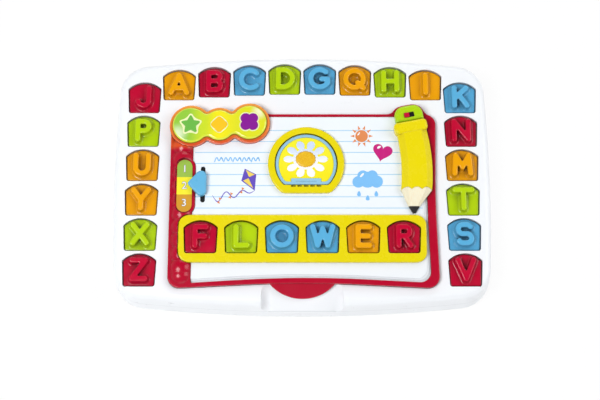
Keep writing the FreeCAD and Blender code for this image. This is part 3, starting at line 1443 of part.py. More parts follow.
def speaker():
    low = FOOT_HEIGHT + WALL
    rim = rod(SPEAKER_X, SPEAKER_Y, SPEAKER_RADIUS, low, low + SPEAKER_RIM)
    back = low + SPEAKER_DEPTH
    basket_low = low + SPEAKER_RIM - OVERLAP
    basket = Part.makeCone(SPEAKER_RADIUS - SPEAKER_STEP, BASKET_RADIUS, back - basket_low,
                           Vector(SPEAKER_X, SPEAKER_Y, basket_low))
    magnet = rod(SPEAKER_X, SPEAKER_Y, MAGNET_RADIUS, back - OVERLAP, back + MAGNET_DEPTH)
    cone = Part.makeCone(SPEAKER_RADIUS - SPEAKER_RIM, BASKET_RADIUS / 2, SPEAKER_DEPTH / 2,
                         Vector(SPEAKER_X, SPEAKER_Y, low))
    return fused([rim, basket, magnet]).cut(cone).Solids[0]


def lead_routes():
    """Two battery leads, two speaker leads, a lamp lead and a switch lead, ending under the main board."""
    board = BOARD_TOP - BOARD_THICKNESS
    end = box_inside()[1] / 2
    deep = SPEAKER_DEPTH / 2 + FOOT_HEIGHT + WALL
    side = BOX_X + box_inside()[0] / 2 + BOX_WALL + 2 * LEAD_BEND + POST_WEB
    behind = BOX_Y + end + 3 * LEAD_BEND
    first, last = cell_x(0), cell_x(CELL_COUNT - 1)
    high = CELL_AXIS + CONTACT_SIZE / 3
    routes = [
        [(first, BOX_Y - end, high), (first, LEAD_END_Y, high), (first, LEAD_END_Y, board)],
        [(last, BOX_Y + end, high), (last, behind, high), (side, behind, high),
         (side, LEAD_END_Y, high), (side, LEAD_END_Y, board)],
    ]
    for x in (SPEAKER_X - SPEAKER_LEAD_SPREAD, SPEAKER_X + SPEAKER_LEAD_SPREAD):
        y = SPEAKER_Y - MAGNET_RADIUS
        tall = FOOT_HEIGHT + WALL + SPEAKER_DEPTH + MAGNET_DEPTH / 2
        routes.append([(x, y, tall), (x, LEAD_END_Y, tall), (x, LEAD_END_Y, board)])
    lamp_x = LOBES[1][0] - LIGHT_BOARD_WIDTH / 3
    lamp_y = LOBES[1][1]
    low = LIGHT_BOARD_TOP - BOARD_THICKNESS
    landing = TRAY_TILES_WIDTH / 2 - LEAD_LANDING
    drops = ((lamp_x, lamp_y, low, -landing), (SWITCH_X, SWITCH_LEAD_Y, SHEET_TOP, landing))
    for x, y, start, end_x in drops:
        routes.append([(x, y, start), (x, y, deep), (end_x, LEAD_END_Y, deep), (end_x, LEAD_END_Y, board)])
    return [[Vector(*point) for point in route] for route in routes]


def battery_lead_holes():
    """Holes in the battery box's end walls for its two leads."""
    holes = []
    for route in lead_routes()[:2]:
        start, second = route[0], route[1]
        direction = (second - start).normalize()
        mouth = start - direction * OVERLAP
        holes.append(Part.makeCylinder(LEAD_RADIUS + FIT_GAP, 2 * BOX_WALL, mouth, direction))
    return holes


def wire_leads():
    return [tube(route, LEAD_RADIUS) for route in lead_routes()]


# Screws

def screw(x, y, seat):
    """Screw from below: seat is the height of the face under its head."""
    head = rod(x, y, SCREW_HEAD_RADIUS, seat - SCREW_HEAD_HEIGHT, seat)
    shank = rod(x, y, SCREW_RADIUS, seat - OVERLAP, seat + SCREW_LENGTH - FIT_GAP)
    low = seat - SCREW_HEAD_HEIGHT - PAST
    high = seat - SCREW_HEAD_HEIGHT / 2
    slots = []
    for width, length in ((SCREW_CROSS, SCREW_SLOT), (SCREW_SLOT, SCREW_CROSS)):
        slots.append(Part.makeBox(width, length, high - low, Vector(x - width / 2, y - length / 2, low)))
    return fused([head, shank]).cut(slots).Solids[0]


def screws():
    group = [screw(x, y, POST_TOP - POST_WEB) for x, y in screw_bosses()]
    group.append(screw(BOX_X, door_ear_y(), FOOT_HEIGHT + DOOR_EAR_HEIGHT - POST_WEB))
    group += [screw(x, y, BED_FLOOR - WALL) for x, y in COVER_SCREWS]
    group += [screw(x, y, BOARD_TOP - BOARD_THICKNESS) for x, y in tray_screws()]
    group += [screw(x, y, LIGHT_BOARD_TOP - BOARD_THICKNESS) for x, y in light_board_screws()]
    return group


# All pieces, each to its own file

def pieces():
    parts = {
        "top_shell": top_shell(),
        "bottom_shell": bottom_shell(),
        "battery_door": battery_door(),
        "battery_cells": battery_cells(),
        "battery_contacts": battery_contacts(),
        "rubber_feet": rubber_feet(),
        "notebook_cover": notebook_cover(),
        "page_block": page_block(),
        "page_sheet": page_sheet(),
        "word_tray": word_tray(),
        "card_holder": card_holder(),
        "picture_card": picture_card(),
        "card_print": card_print(),
        "card_reader": card_reader(),
        "level_slider": level_slider(),
        "slider_track": slider_track(),
        "level_scale": level_scale(),
        "lens_bezel": lens_bezel(),
        "light_button": light_button(),
        "button_motifs": button_motifs(),
        "button_dome": button_dome(),
        "light_board": light_board(),
        "pencil_barrel": pencil_barrel(),
        "pencil_wood": pencil_wood(),
        "pencil_lead": pencil_lead(),
        "pencil_eraser": pencil_eraser(),
        "power_switch": power_switch(),
        "power_knob": power_knob(),
        "main_board": main_board(),
        "board_chips": board_chips(),
        "tile_sensor_pad": tile_sensor_pad(),
        "speaker": speaker(),
        "wire_leads": wire_leads(),
        "screws": screws(),
    }
    for letter, place in rim_places().items():
        parts["tile_" + letter.lower()] = tile(letter, place, RIM_SEAT)
    for letter, place in tray_places().items():
        parts["tile_" + letter.lower()] = tile(letter, place, TRAY_SEAT)
    return parts


os.makedirs("parts", exist_ok=True)
for name, shape in pieces().items():
    solid = Part.makeCompound(shape) if isinstance(shape, list) else shape
    solid.exportStep("parts/" + name + ".step")
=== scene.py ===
import json
import math

import bmesh
import bpy
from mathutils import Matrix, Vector


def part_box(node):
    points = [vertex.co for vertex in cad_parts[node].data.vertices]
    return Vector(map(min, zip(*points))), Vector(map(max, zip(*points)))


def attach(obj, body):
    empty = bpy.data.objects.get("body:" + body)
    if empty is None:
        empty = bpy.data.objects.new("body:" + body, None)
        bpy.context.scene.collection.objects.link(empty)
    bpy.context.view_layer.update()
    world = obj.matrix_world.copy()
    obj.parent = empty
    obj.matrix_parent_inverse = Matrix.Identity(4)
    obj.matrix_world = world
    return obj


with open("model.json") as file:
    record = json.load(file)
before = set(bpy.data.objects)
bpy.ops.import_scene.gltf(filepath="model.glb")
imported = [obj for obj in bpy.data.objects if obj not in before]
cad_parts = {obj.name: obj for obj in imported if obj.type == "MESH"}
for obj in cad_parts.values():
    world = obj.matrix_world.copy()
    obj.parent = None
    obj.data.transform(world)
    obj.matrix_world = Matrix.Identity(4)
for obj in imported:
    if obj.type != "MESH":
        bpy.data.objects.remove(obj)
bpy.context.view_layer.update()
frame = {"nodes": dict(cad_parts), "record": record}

MM = 0.001
nodes = frame["nodes"]

# Heights and places on the toy, in millimetres

SHEET_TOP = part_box("page_sheet")[1].z / MM
SCALE_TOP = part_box("level_scale")[1].z / MM
SCALE_X = (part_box("level_scale")[0].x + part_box("level_scale")[1].x) / 2 / MM
LENS_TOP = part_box("light_button")[1].z / MM
CARD_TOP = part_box("card_print")[1].z / MM
PARTING_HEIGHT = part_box("bottom_shell")[1].z / MM
INK_FILM = 0.06
INK_SINK = 0.03
RULE_FIRST = 53.6
RULE_PITCH = 12.0
RULE_WIDTH = 0.75
RULE_COUNT = 8


# Node helpers

def srgb(red, green, blue):
    """A colour written as on a swatch card, as the linear value that a shader takes."""
    def straight(value):
        share = value / 255
        return share / 12.92 if share <= 0.04045 else ((share + 0.055) / 1.055) ** 2.4
    return (straight(red), straight(green), straight(blue), 1.0)


def node(tree, kind, **settings):
    made = tree.nodes.new(kind)
    for name, value in settings.items():
        setattr(made, name, value)
    return made


def feed(tree, source, target):
    """Joins an output to an input, or sets the input where the source is a plain value."""
    if isinstance(source, bpy.types.NodeSocket):
        tree.links.new(source, target)
    else:
        target.default_value = source


def sum_of(tree, operation, first, second=0.0, third=0.0, clamp=False):
    made = node(tree, "ShaderNodeMath", operation=operation, use_clamp=clamp)
    for source, socket in zip((first, second, third), made.inputs):
        feed(tree, source, socket)
    return made.outputs[0]


def mixed(tree, share, first, second):
    made = node(tree, "ShaderNodeMix", data_type="RGBA", blend_type="MIX")
    feed(tree, share, made.inputs[0])
    feed(tree, first, made.inputs[6])
    feed(tree, second, made.inputs[7])
    return made.outputs[2]


def stretched(tree, value, low, high, to_low=0.0, to_high=1.0, smooth=False):
    kind = "SMOOTHSTEP" if smooth else "LINEAR"
    made = node(tree, "ShaderNodeMapRange", interpolation_type=kind)
    for source, socket in zip((value, low, high, to_low, to_high), made.inputs):
        feed(tree, source, socket)
    return made.outputs[0]


def noise(tree, place, scale, detail=2.0, rough=0.5):
    made = node(tree, "ShaderNodeTexNoise")
    feed(tree, place, made.inputs["Vector"])
    made.inputs["Scale"].default_value = scale
    made.inputs["Detail"].default_value = detail
    made.inputs["Roughness"].default_value = rough
    return made.outputs["Fac"]


def place_on(tree):
    """Place on the piece, in metres in the toy's own frame."""
    return node(tree, "ShaderNodeTexCoord").outputs["Object"]


def place_parts(tree):
    made = node(tree, "ShaderNodeSeparateXYZ")
    tree.links.new(place_on(tree), made.inputs[0])
    return made.outputs


def new_group(name, inputs, outputs):
    tree = bpy.data.node_groups.new(name, "ShaderNodeTree")
    for label, kind, value in inputs:
        socket = tree.interface.new_socket(label, in_out="INPUT", socket_type=kind)
        socket.default_value = value
    for label, kind in outputs:
        tree.interface.new_socket(label, in_out="OUTPUT", socket_type=kind)
    return tree, node(tree, "NodeGroupInput").outputs, node(tree, "NodeGroupOutput").inputs


COLOUR = "NodeSocketColor"
NUMBER = "NodeSocketFloat"

# How often each pattern repeats, per metre

MELT_CLOUDS = 28
TOOL_SPECKS = 1500
TOOL_GRAIN = 4200
GLOSS_SMEARS = 90
RUB_PATCHES = 160
CREASE_SHADE_PATCHES = 110
DUST_PATCHES = 60
INK_FIBRES = 2400
INK_LAY = 120
WOOD_STREAKS = 900
SEED_CELLS = 900
FLOOR_CLOUDS = 3.0

# Depth of the finest relief, in metres

GRAIN_DEPTH = 0.00001
PLATING_DEPTH = 0.00002

# What wear, dirt, painted crease shade and coats do to a surface

CREASE_SHADE_TINT = (0.012, 0.01, 0.01, 1)
RUB_TINT = (0.92, 0.92, 0.92, 1)
DUST_TINT = (0.72, 0.71, 0.69, 1)
RUB_DULLING = 0.25
DUST_DULLING = 1.5
PLASTIC_COAT_ROUGHNESS = 0.12
FILM_COAT_ROUGHNESS = 0.15


def moulded_skin():
    """Moulded plastic: cloudy tone from the melt, patchy gloss, and the fine grain of the tool's face."""
    tree, given, out = new_group("moulded_skin", [
        ("Colour", COLOUR, (0.8, 0.8, 0.8, 1)),
        ("Tone change", NUMBER, 0.04),
        ("Gloss low", NUMBER, 0.25),
        ("Gloss high", NUMBER, 0.38),
        ("Grain", NUMBER, 0.5),
    ], [("Colour", COLOUR), ("Roughness", NUMBER), ("Height", NUMBER)])
    place = place_on(tree)
    cloud = noise(tree, place, MELT_CLOUDS, detail=3.0, rough=0.55)
    speck = noise(tree, place, TOOL_SPECKS, detail=1.0)
    fine = noise(tree, place, TOOL_GRAIN, detail=2.0, rough=0.6)
    swing = sum_of(tree, "SUBTRACT", cloud, 0.5)
    fleck = sum_of(tree, "MULTIPLY", sum_of(tree, "SUBTRACT", speck, 0.5), 0.5)
    tone = sum_of(tree, "MULTIPLY_ADD", sum_of(tree, "ADD", swing, fleck), given["Tone change"], 1.0)
    shade = node(tree, "ShaderNodeHueSaturation")
    feed(tree, tone, shade.inputs["Value"])
    feed(tree, given["Colour"], shade.inputs["Color"])
    feed(tree, shade.outputs[0], out["Colour"])
    smear = noise(tree, place, GLOSS_SMEARS, detail=4.0, rough=0.65)
    gloss = stretched(tree, smear, 0.3, 0.7, given["Gloss low"], given["Gloss high"])
    feed(tree, gloss, out["Roughness"])
    feed(tree, sum_of(tree, "MULTIPLY", fine, given["Grain"]), out["Height"])
    return tree


def rubbed_edges():
    """Mask of the corners that hands and the table rub, broken up so that no edge is worn evenly."""
    tree, given, out = new_group("rubbed_edges", [
        ("Reach", NUMBER, 0.0006),
        ("Amount", NUMBER, 0.3),
    ], [("Mask", NUMBER)])
    soft = node(tree, "ShaderNodeBevel", samples=4)
    feed(tree, given["Reach"], soft.inputs["Radius"])
    sharp = node(tree, "ShaderNodeNewGeometry").outputs["Normal"]
    meet = node(tree, "ShaderNodeVectorMath", operation="DOT_PRODUCT")
    feed(tree, soft.outputs[0], meet.inputs[0])
    feed(tree, sharp, meet.inputs[1])
    turn = stretched(tree, meet.outputs["Value"], 0.995, 0.86)
    broken = stretched(tree, noise(tree, place_on(tree), RUB_PATCHES, detail=3.0, rough=0.6), 0.36, 0.62)
    worn = sum_of(tree, "MULTIPLY", sum_of(tree, "MULTIPLY", turn, broken), given["Amount"])
    feed(tree, worn, out["Mask"])
    return tree


def painted_crease_shade():
    """Mask of painted shade in the narrow corners that little light reaches, where colour is painted deeper,
    in uneven patches.
    """
    tree, given, out = new_group("painted_crease_shade", [
        ("Reach", NUMBER, 0.004),
        ("Amount", NUMBER, 0.4),
    ], [("Mask", NUMBER)])
    around = node(tree, "ShaderNodeAmbientOcclusion", samples=6)
    feed(tree, given["Reach"], around.inputs["Distance"])
    hidden = stretched(tree, around.outputs["AO"], 0.92, 0.3)
    cloud = noise(tree, place_on(tree), CREASE_SHADE_PATCHES, detail=3.0, rough=0.6)
    patch = stretched(tree, cloud, 0.25, 0.6, 0.7, 1.0)
    creased = sum_of(tree, "MULTIPLY", sum_of(tree, "MULTIPLY", hidden, patch), given["Amount"])
    feed(tree, creased, out["Mask"])
    return tree


def settled_dust():
    """Mask of faint dust on faces that look up, thicker in patches."""
    tree, given, out = new_group("settled_dust", [("Amount", NUMBER, 0.05)], [("Mask", NUMBER)])
    facing = node(tree, "ShaderNodeSeparateXYZ")
    feed(tree, node(tree, "ShaderNodeNewGeometry").outputs["Normal"], facing.inputs[0])
    up = stretched(tree, facing.outputs["Z"], 0.5, 1.0)
    patch = stretched(tree, noise(tree, place_on(tree), DUST_PATCHES, detail=5.0, rough=0.7), 0.42, 0.7)
    dusty = sum_of(tree, "MULTIPLY", sum_of(tree, "MULTIPLY", up, patch), given["Amount"])
    feed(tree, dusty, out["Mask"])
    return tree


def printed_ink():
    """Ink on card or film: fine fibre tone and a slightly uneven lay."""
    tree, given, out = new_group("printed_ink", [
        ("Colour", COLOUR, (0.8, 0.8, 0.8, 1)),
        ("Unevenness", NUMBER, 0.05),
    ], [("Colour", COLOUR), ("Roughness", NUMBER), ("Height", NUMBER)])
    place = place_on(tree)
    fibre = noise(tree, place, INK_FIBRES, detail=3.0, rough=0.7)
    lay = noise(tree, place, INK_LAY, detail=2.0)
    swing = sum_of(tree, "SUBTRACT", sum_of(tree, "ADD", fibre, lay), 1.0)
    tone = sum_of(tree, "MULTIPLY_ADD", swing, given["Unevenness"], 1.0)
    shade = node(tree, "ShaderNodeHueSaturation")
    feed(tree, tone, shade.inputs["Value"])
    feed(tree, given["Colour"], shade.inputs["Color"])
    feed(tree, shade.outputs[0], out["Colour"])
    feed(tree, stretched(tree, lay, 0.3, 0.7, 0.3, 0.42), out["Roughness"])
    feed(tree, fibre, out["Height"])
    return tree


SKIN = moulded_skin()
RUB = rubbed_edges()
CREASE_SHADE_GROUP = painted_crease_shade()
DUST = settled_dust()
INK = printed_ink()


def placed(tree, group, **values):
    made = node(tree, "ShaderNodeGroup", node_tree=group)
    for label, value in values.items():
        feed(tree, value, made.inputs[label.replace("_", " ")])
    return made.outputs


def blank(name):
    material = bpy.data.materials.new(name)
    material.use_nodes = True
    tree = material.node_tree
    return material, tree, tree.nodes["Principled BSDF"].inputs


def raised(tree, height, depth):
    made = node(tree, "ShaderNodeBump")
    made.inputs["Strength"].default_value = 1.0
    made.inputs["Distance"].default_value = depth
    feed(tree, height, made.inputs["Height"])
    return made.outputs[0]


def plastic(name, colour, tone=0.05, gloss=(0.24, 0.36), grain=0.5, rub=0.2, dust=0.008, coat=0.0, paint=None,
            shine=0.36, crease_shade=0.5, reach=0.004):
    """Moulded plastic. paint may turn the plain colour into one that changes over the piece."""
    material, tree, shader = blank(name)
    base = paint(tree, colour) if paint else colour
    gloss_low, gloss_high = gloss
    skin = placed(tree, SKIN, Colour=base, Tone_change=tone, Gloss_low=gloss_low, Gloss_high=gloss_high,
                  Grain=grain)
    worn = placed(tree, RUB, Amount=rub)["Mask"]
    dusty = placed(tree, DUST, Amount=dust)["Mask"]
    # Painted shade: colour darkened where ambient occlusion finds creases and corners
    crease_shade_mask = placed(tree, CREASE_SHADE_GROUP, Amount=crease_shade, Reach=reach)["Mask"]
    shaded = mixed(tree, crease_shade_mask, skin["Colour"], CREASE_SHADE_TINT)
    pale = mixed(tree, worn, shaded, RUB_TINT)
    feed(tree, mixed(tree, dusty, pale, DUST_TINT), shader["Base Color"])
    dull = sum_of(tree, "ADD", sum_of(tree, "MULTIPLY", worn, RUB_DULLING),
                  sum_of(tree, "MULTIPLY", dusty, DUST_DULLING))
    feed(tree, sum_of(tree, "ADD", skin["Roughness"], dull, clamp=True), shader["Roughness"])
    feed(tree, raised(tree, skin["Height"], GRAIN_DEPTH), shader["Normal"])
    shader["Specular IOR Level"].default_value = shine
    shader["Coat Weight"].default_value = coat
    shader["Coat Roughness"].default_value = PLASTIC_COAT_ROUGHNESS
    return material


def ink(name, colour, paint=None, unevenness=0.05, coat=0.25):
    material, tree, shader = blank(name)
    base = paint(tree, colour) if paint else colour
    lay = placed(tree, INK, Colour=base, Unevenness=unevenness)
    feed(tree, lay["Colour"], shader["Base Color"])
    feed(tree, lay["Roughness"], shader["Roughness"])
    feed(tree, raised(tree, lay["Height"], GRAIN_DEPTH), shader["Normal"])
    shader["Coat Weight"].default_value = coat
    shader["Coat Roughness"].default_value = FILM_COAT_ROUGHNESS
    return material


# Paints that change over a piece, at these places in millimetres

BEFORE_ALL = None
SCALE_EDGES = (-16.3, 2.3)
MOTIF_EDGES = (-101.0, -73.5)
LENS_STOPS = (-122.0, -103.0, -88.0, -64.0)
BEZEL_STOPS = (36.0, 52.0, 82.0)
SPINE_EDGE = -113.5
SPINE_ORANGE = (31.0, 37.0)
CARD_EDGE = -60.0
CARD_GLOW = (-12.0, 45.0)
SEAM_HALF = (0.32, 0.14)
SEAM_SHARE = 0.35
PETAL_SHADE = (12.0, 38.0)
LIT_SHARE = 0.85
LIT_LEFT = (-130.0, 48.0, LENS_TOP)
LIT_LEFT_REACH = 13.0
LIT_RIGHT = (-45.0, 72.0, LENS_TOP)
LIT_RIGHT_REACH = 11.0


def bands(tree, along, stops):
    """Colours one after another along a number: stops are (start, colour)."""
    colour = stops[0][1]
    for start, following in stops[1:]:
        colour = mixed(tree, sum_of(tree, "GREATER_THAN", along, start), colour, following)
    return colour


def fades(tree, along, stops):
    """Colours that run into one another along a number: stops are (place, colour)."""
    colour = stops[0][1]
    for (start, _), (end, following) in zip(stops, stops[1:]):
        colour = mixed(tree, stretched(tree, along, start, end, smooth=True), colour, following)
    return colour


def ruled(tree, colour):
    """Page ruled in pale blue."""
    y = place_parts(tree)["Y"]
    first = (RULE_FIRST + RULE_PITCH / 2) * MM
    step = sum_of(tree, "DIVIDE", sum_of(tree, "SUBTRACT", first, y), RULE_PITCH * MM)
    off = sum_of(tree, "ABSOLUTE", sum_of(tree, "SUBTRACT", sum_of(tree, "FRACT", step), 0.5))
    half = RULE_WIDTH / RULE_PITCH / 2
    line = stretched(tree, off, half * 1.25, half * 0.75)
    on_page = sum_of(tree, "GREATER_THAN", step, 0.0)
    before_end = sum_of(tree, "LESS_THAN", step, float(RULE_COUNT))
    line = sum_of(tree, "MULTIPLY", line, sum_of(tree, "MULTIPLY", on_page, before_end))
    return mixed(tree, line, colour, srgb(150, 205, 240))


def scale_zones(tree, colour):
    y = place_parts(tree)["Y"]
    low, high = SCALE_EDGES
    return bands(tree, y, [(BEFORE_ALL, srgb(212, 154, 30)), (low * MM, srgb(248, 236, 40)),
                           (high * MM, colour)])


def motif_zones(tree, colour):
    x = place_parts(tree)["X"]
    middle, right = MOTIF_EDGES
    return bands(tree, x, [(BEFORE_ALL, colour), (middle * MM, srgb(252, 200, 34)),
                           (right * MM, srgb(136, 24, 150))])


def glow(tree, colour, centre, reach, tint):
    """Painted glow: colour that pales round one place on the piece."""
    away = node(tree, "ShaderNodeVectorMath", operation="DISTANCE")
    feed(tree, place_on(tree), away.inputs[0])
    away.inputs[1].default_value = [value * MM for value in centre]
    near = stretched(tree, away.outputs["Value"], reach * MM, 0.0, 0.0, LIT_SHARE, smooth=True)
    return mixed(tree, near, colour, tint)


def lens_fade(tree, colour):
    """Lens that runs from green through yellow to lime, with a lime rim and two painted glow patches."""
    x = place_parts(tree)["X"]
    tints = (srgb(150, 206, 64), srgb(206, 226, 44), srgb(248, 236, 26), colour)
    lens = fades(tree, x, [(stop * MM, tint) for stop, tint in zip(LENS_STOPS, tints)])
    lens = glow(tree, lens, LIT_LEFT, LIT_LEFT_REACH, srgb(238, 250, 214))
    lens = glow(tree, lens, LIT_RIGHT, LIT_RIGHT_REACH, srgb(250, 250, 220))
    facing = node(tree, "ShaderNodeSeparateXYZ")
    feed(tree, node(tree, "ShaderNodeNewGeometry").outputs["Normal"], facing.inputs[0])
    rim = stretched(tree, facing.outputs["Z"], 0.99, 0.8)
    return mixed(tree, rim, lens, srgb(224, 236, 60))


def bezel_glow(tree, colour):
    """Orange that turns to red where the bezel meets the spine."""
    y = place_parts(tree)["Y"]
    tints = (srgb(226, 84, 36), colour, srgb(244, 158, 64))
    return fades(tree, y, [(stop * MM, tint) for stop, tint in zip(BEZEL_STOPS, tints)])


def cover_paint(tree, colour):
    """Red cover whose spine turns orange under the bezel."""
    parts = place_parts(tree)
    on_spine = sum_of(tree, "LESS_THAN", parts["X"], SPINE_EDGE * MM)
    start, end = SPINE_ORANGE
    upper = stretched(tree, parts["Y"], start * MM, end * MM, smooth=True)
    top = sum_of(tree, "MULTIPLY", on_spine, upper)
    return mixed(tree, top, colour, srgb(226, 84, 30))


def card_paint(tree, colour):
    """Blue of the level pointer, and the picture card's paler blue to the right of it."""
    x = place_parts(tree)["X"]
    return bands(tree, x, [(BEFORE_ALL, colour), (CARD_EDGE * MM, srgb(150, 200, 228))])


def card_glow(tree, colour):
    y = place_parts(tree)["Y"]
    start, end = CARD_GLOW
    return fades(tree, y, [(start * MM, colour), (end * MM, srgb(248, 240, 44))])


def shell_paint(tree, colour):
    """White shell with the dark hairline where its two halves meet."""
    z = place_parts(tree)["Z"]
    off = sum_of(tree, "ABSOLUTE", sum_of(tree, "SUBTRACT", z, PARTING_HEIGHT * MM))
    outer, inner = SEAM_HALF
    seam = stretched(tree, off, outer * MM, inner * MM)
    return mixed(tree, sum_of(tree, "MULTIPLY", seam, SEAM_SHARE), colour, srgb(120, 124, 130))


def wood_grain(tree, colour):
    place = place_on(tree)
    long = node(tree, "ShaderNodeMapping")
    feed(tree, place, long.inputs["Vector"])
    long.inputs["Scale"].default_value = (1.0, 0.08, 1.0)
    streak = noise(tree, long.outputs[0], WOOD_STREAKS, detail=3.0, rough=0.6)
    return mixed(tree, stretched(tree, streak, 0.35, 0.7, 0.0, 0.5), colour, srgb(240, 220, 178))


def petal_shade(tree, colour):
    """White petal that turns pale blue towards the flower's back."""
    y = place_parts(tree)["Y"]
    start, end = PETAL_SHADE
    return fades(tree, y, [(start * MM, colour), (end * MM, srgb(206, 222, 250))])


def seed_head(tree, colour):
    cells = node(tree, "ShaderNodeTexVoronoi")
    feed(tree, place_on(tree), cells.inputs["Vector"])
    cells.inputs["Scale"].default_value = SEED_CELLS
    return mixed(tree, stretched(tree, cells.outputs["Distance"], 0.1, 0.7), srgb(240, 200, 40), colour)


# Materials

TILE_GLOSS = (0.15, 0.24)
# Painted shade in creases: the crease settings below say how dark it is and how far it reaches
TILE_CREASE_SHADE = {"crease_shade": 0.75, "reach": 0.009}
materials = {
    "case_white": plastic("white_shell", srgb(243, 246, 250),
                          tone=0.012, gloss=(0.27, 0.32), grain=0.4, rub=0.0, dust=0.0, paint=shell_paint,
                          crease_shade=0.25),
    "page_white": plastic("white_page_edges", srgb(237, 241, 246),
                          tone=0.015, gloss=(0.34, 0.42), grain=0.4, rub=0.0, dust=0.0, crease_shade=0.25),
    "page_print": ink("ruled_page", srgb(239, 246, 253),
                      paint=ruled, unevenness=0.012),
    "cover_red": plastic("red_cover", srgb(182, 0, 42),
                         tone=0.06, gloss=(0.16, 0.26), grain=0.4, rub=0.12, paint=cover_paint,
                         crease_shade=0.85, reach=0.012),
    "tray_yellow": plastic("yellow_tray", srgb(231, 214, 0),
                           tone=0.04, gloss=(0.2, 0.32), grain=0.4, rub=0.1),
    "card_blue": plastic("blue_card", srgb(100, 180, 222),
                         tone=0.05, gloss=(0.24, 0.36), grain=0.4, rub=0.15, paint=card_paint),
    "card_print": ink("yellow_card_print", srgb(249, 233, 4),
                      paint=card_glow, unevenness=0.03),
    "scale_print": ink("scale_zones", srgb(153, 189, 68),
                       paint=scale_zones, unevenness=0.04),
    "bezel_orange": plastic("orange_bezel", srgb(238, 126, 48),
                            tone=0.05, gloss=(0.16, 0.26), grain=0.3, rub=0.1, coat=0.4, paint=bezel_glow),
    "lens_green": plastic("lime_lens", srgb(226, 228, 36),
                          tone=0.04, gloss=(0.1, 0.18), grain=0.15, rub=0.0, coat=0.8, paint=lens_fade),
    "motif_inks": plastic("lens_motifs", srgb(110, 186, 74),
                          tone=0.04, gloss=(0.14, 0.24), grain=0.2, rub=0.0, coat=0.6, paint=motif_zones),
    "pencil_yellow": plastic("yellow_pencil", srgb(234, 216, 0),
                             tone=0.05, gloss=(0.2, 0.32), grain=0.4, rub=0.1),
    "pencil_wood": plastic("bare_wood_tone", srgb(245, 240, 214),
                           tone=0.05, gloss=(0.38, 0.5), grain=0.7, rub=0.0, paint=wood_grain),
    "pencil_lead": plastic("black_lead", srgb(38, 38, 40),
                           tone=0.2, gloss=(0.28, 0.4), grain=0.6, rub=0.06),
    "eraser_green": plastic("green_eraser", srgb(175, 214, 16),
                            tone=0.05, gloss=(0.22, 0.34), grain=0.5, rub=0.1),
    "knob_red": plastic("red_knob", srgb(196, 8, 50),
                        tone=0.05, gloss=(0.22, 0.34), grain=0.4, rub=0.12),
    "black_plastic": plastic("black_plastic", srgb(24, 25, 28),
                             tone=0.2, gloss=(0.3, 0.42), grain=0.6, rub=0.05),
    "grey_rubber": plastic("grey_rubber", srgb(120, 122, 126),
                           tone=0.12, gloss=(0.62, 0.78), grain=1.4, rub=0.05, dust=0.08),
    "silicone": plastic("clear_grey_silicone", srgb(206, 208, 210),
                        tone=0.06, gloss=(0.45, 0.6), grain=0.8, rub=0.0),
    "board_green": plastic("green_board", srgb(28, 96, 58),
                           tone=0.12, gloss=(0.3, 0.45), grain=0.6, rub=0.05),
    "cell_jacket": plastic("cell_jacket", srgb(58, 92, 150),
                           tone=0.08, gloss=(0.2, 0.3), grain=0.2, rub=0.2),
    "speaker_dark": plastic("dark_speaker", srgb(44, 46, 50),
                            tone=0.2, gloss=(0.5, 0.66), grain=1.0, rub=0.05),
    "lead_red": plastic("red_lead", srgb(170, 30, 34),
                        tone=0.1, gloss=(0.4, 0.52), grain=0.6, rub=0.0),
    "tile_red": plastic("red_tile", srgb(194, 0, 50),
                        tone=0.06, gloss=TILE_GLOSS, grain=0.4, rub=0.16, **TILE_CREASE_SHADE),
    "tile_orange": plastic("orange_tile", srgb(238, 164, 0),
                           tone=0.05, gloss=TILE_GLOSS, grain=0.4, rub=0.14, **TILE_CREASE_SHADE),
    "tile_green": plastic("lime_tile", srgb(180, 212, 10),
                          tone=0.05, gloss=TILE_GLOSS, grain=0.4, rub=0.14, **TILE_CREASE_SHADE),
    "tile_blue": plastic("blue_tile", srgb(90, 174, 219),
                         tone=0.05, gloss=TILE_GLOSS, grain=0.4, rub=0.14, **TILE_CREASE_SHADE),
}


def steel():
    material, tree, shader = blank("plated_steel")
    skin = placed(tree, SKIN, Colour=srgb(196, 198, 202), Tone_change=0.12, Gloss_low=0.22, Gloss_high=0.4,
                  Grain=0.8)
    feed(tree, skin["Colour"], shader["Base Color"])
    feed(tree, skin["Roughness"], shader["Roughness"])
    feed(tree, raised(tree, skin["Height"], PLATING_DEPTH), shader["Normal"])
    shader["Metallic"].default_value = 1.0
    return material


materials["contact_steel"] = steel()

for row in frame["record"]["subparts"]:
    piece = nodes[row["node"]]
    piece.data.materials.clear()
    piece.data.materials.append(materials[row["material_slot"]])


# New pieces

def mesh_piece(name, mesh, material, body):
    piece = bpy.data.objects.new(name, mesh)
    bpy.context.scene.collection.objects.link(piece)
    mesh.materials.append(material)
    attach(piece, body)


# Drafted feet of the tiles' raised letters

FOOT_REACH = 2.6
FOOT_RISE = 4.2
FOOT_STEPS = 7
FOOT_SINK = 0.25
FOOT_BLEND = 0.02
FOOT_ROOM_SHARE = 0.47
FOOT_LEAST_RISE = 0.35
FOOT_SMOOTHINGS = 3
FOOT_CREASE = 0.7
FOOT_CORNER_LEAST = 0.5
WALL_TILT = 0.05
FACE_TILT = 0.999
SAME_PLACE = 0.02
PARALLEL = 1e-9


def spot(point):
    return (round(point.x / SAME_PLACE), round(point.y / SAME_PLACE))


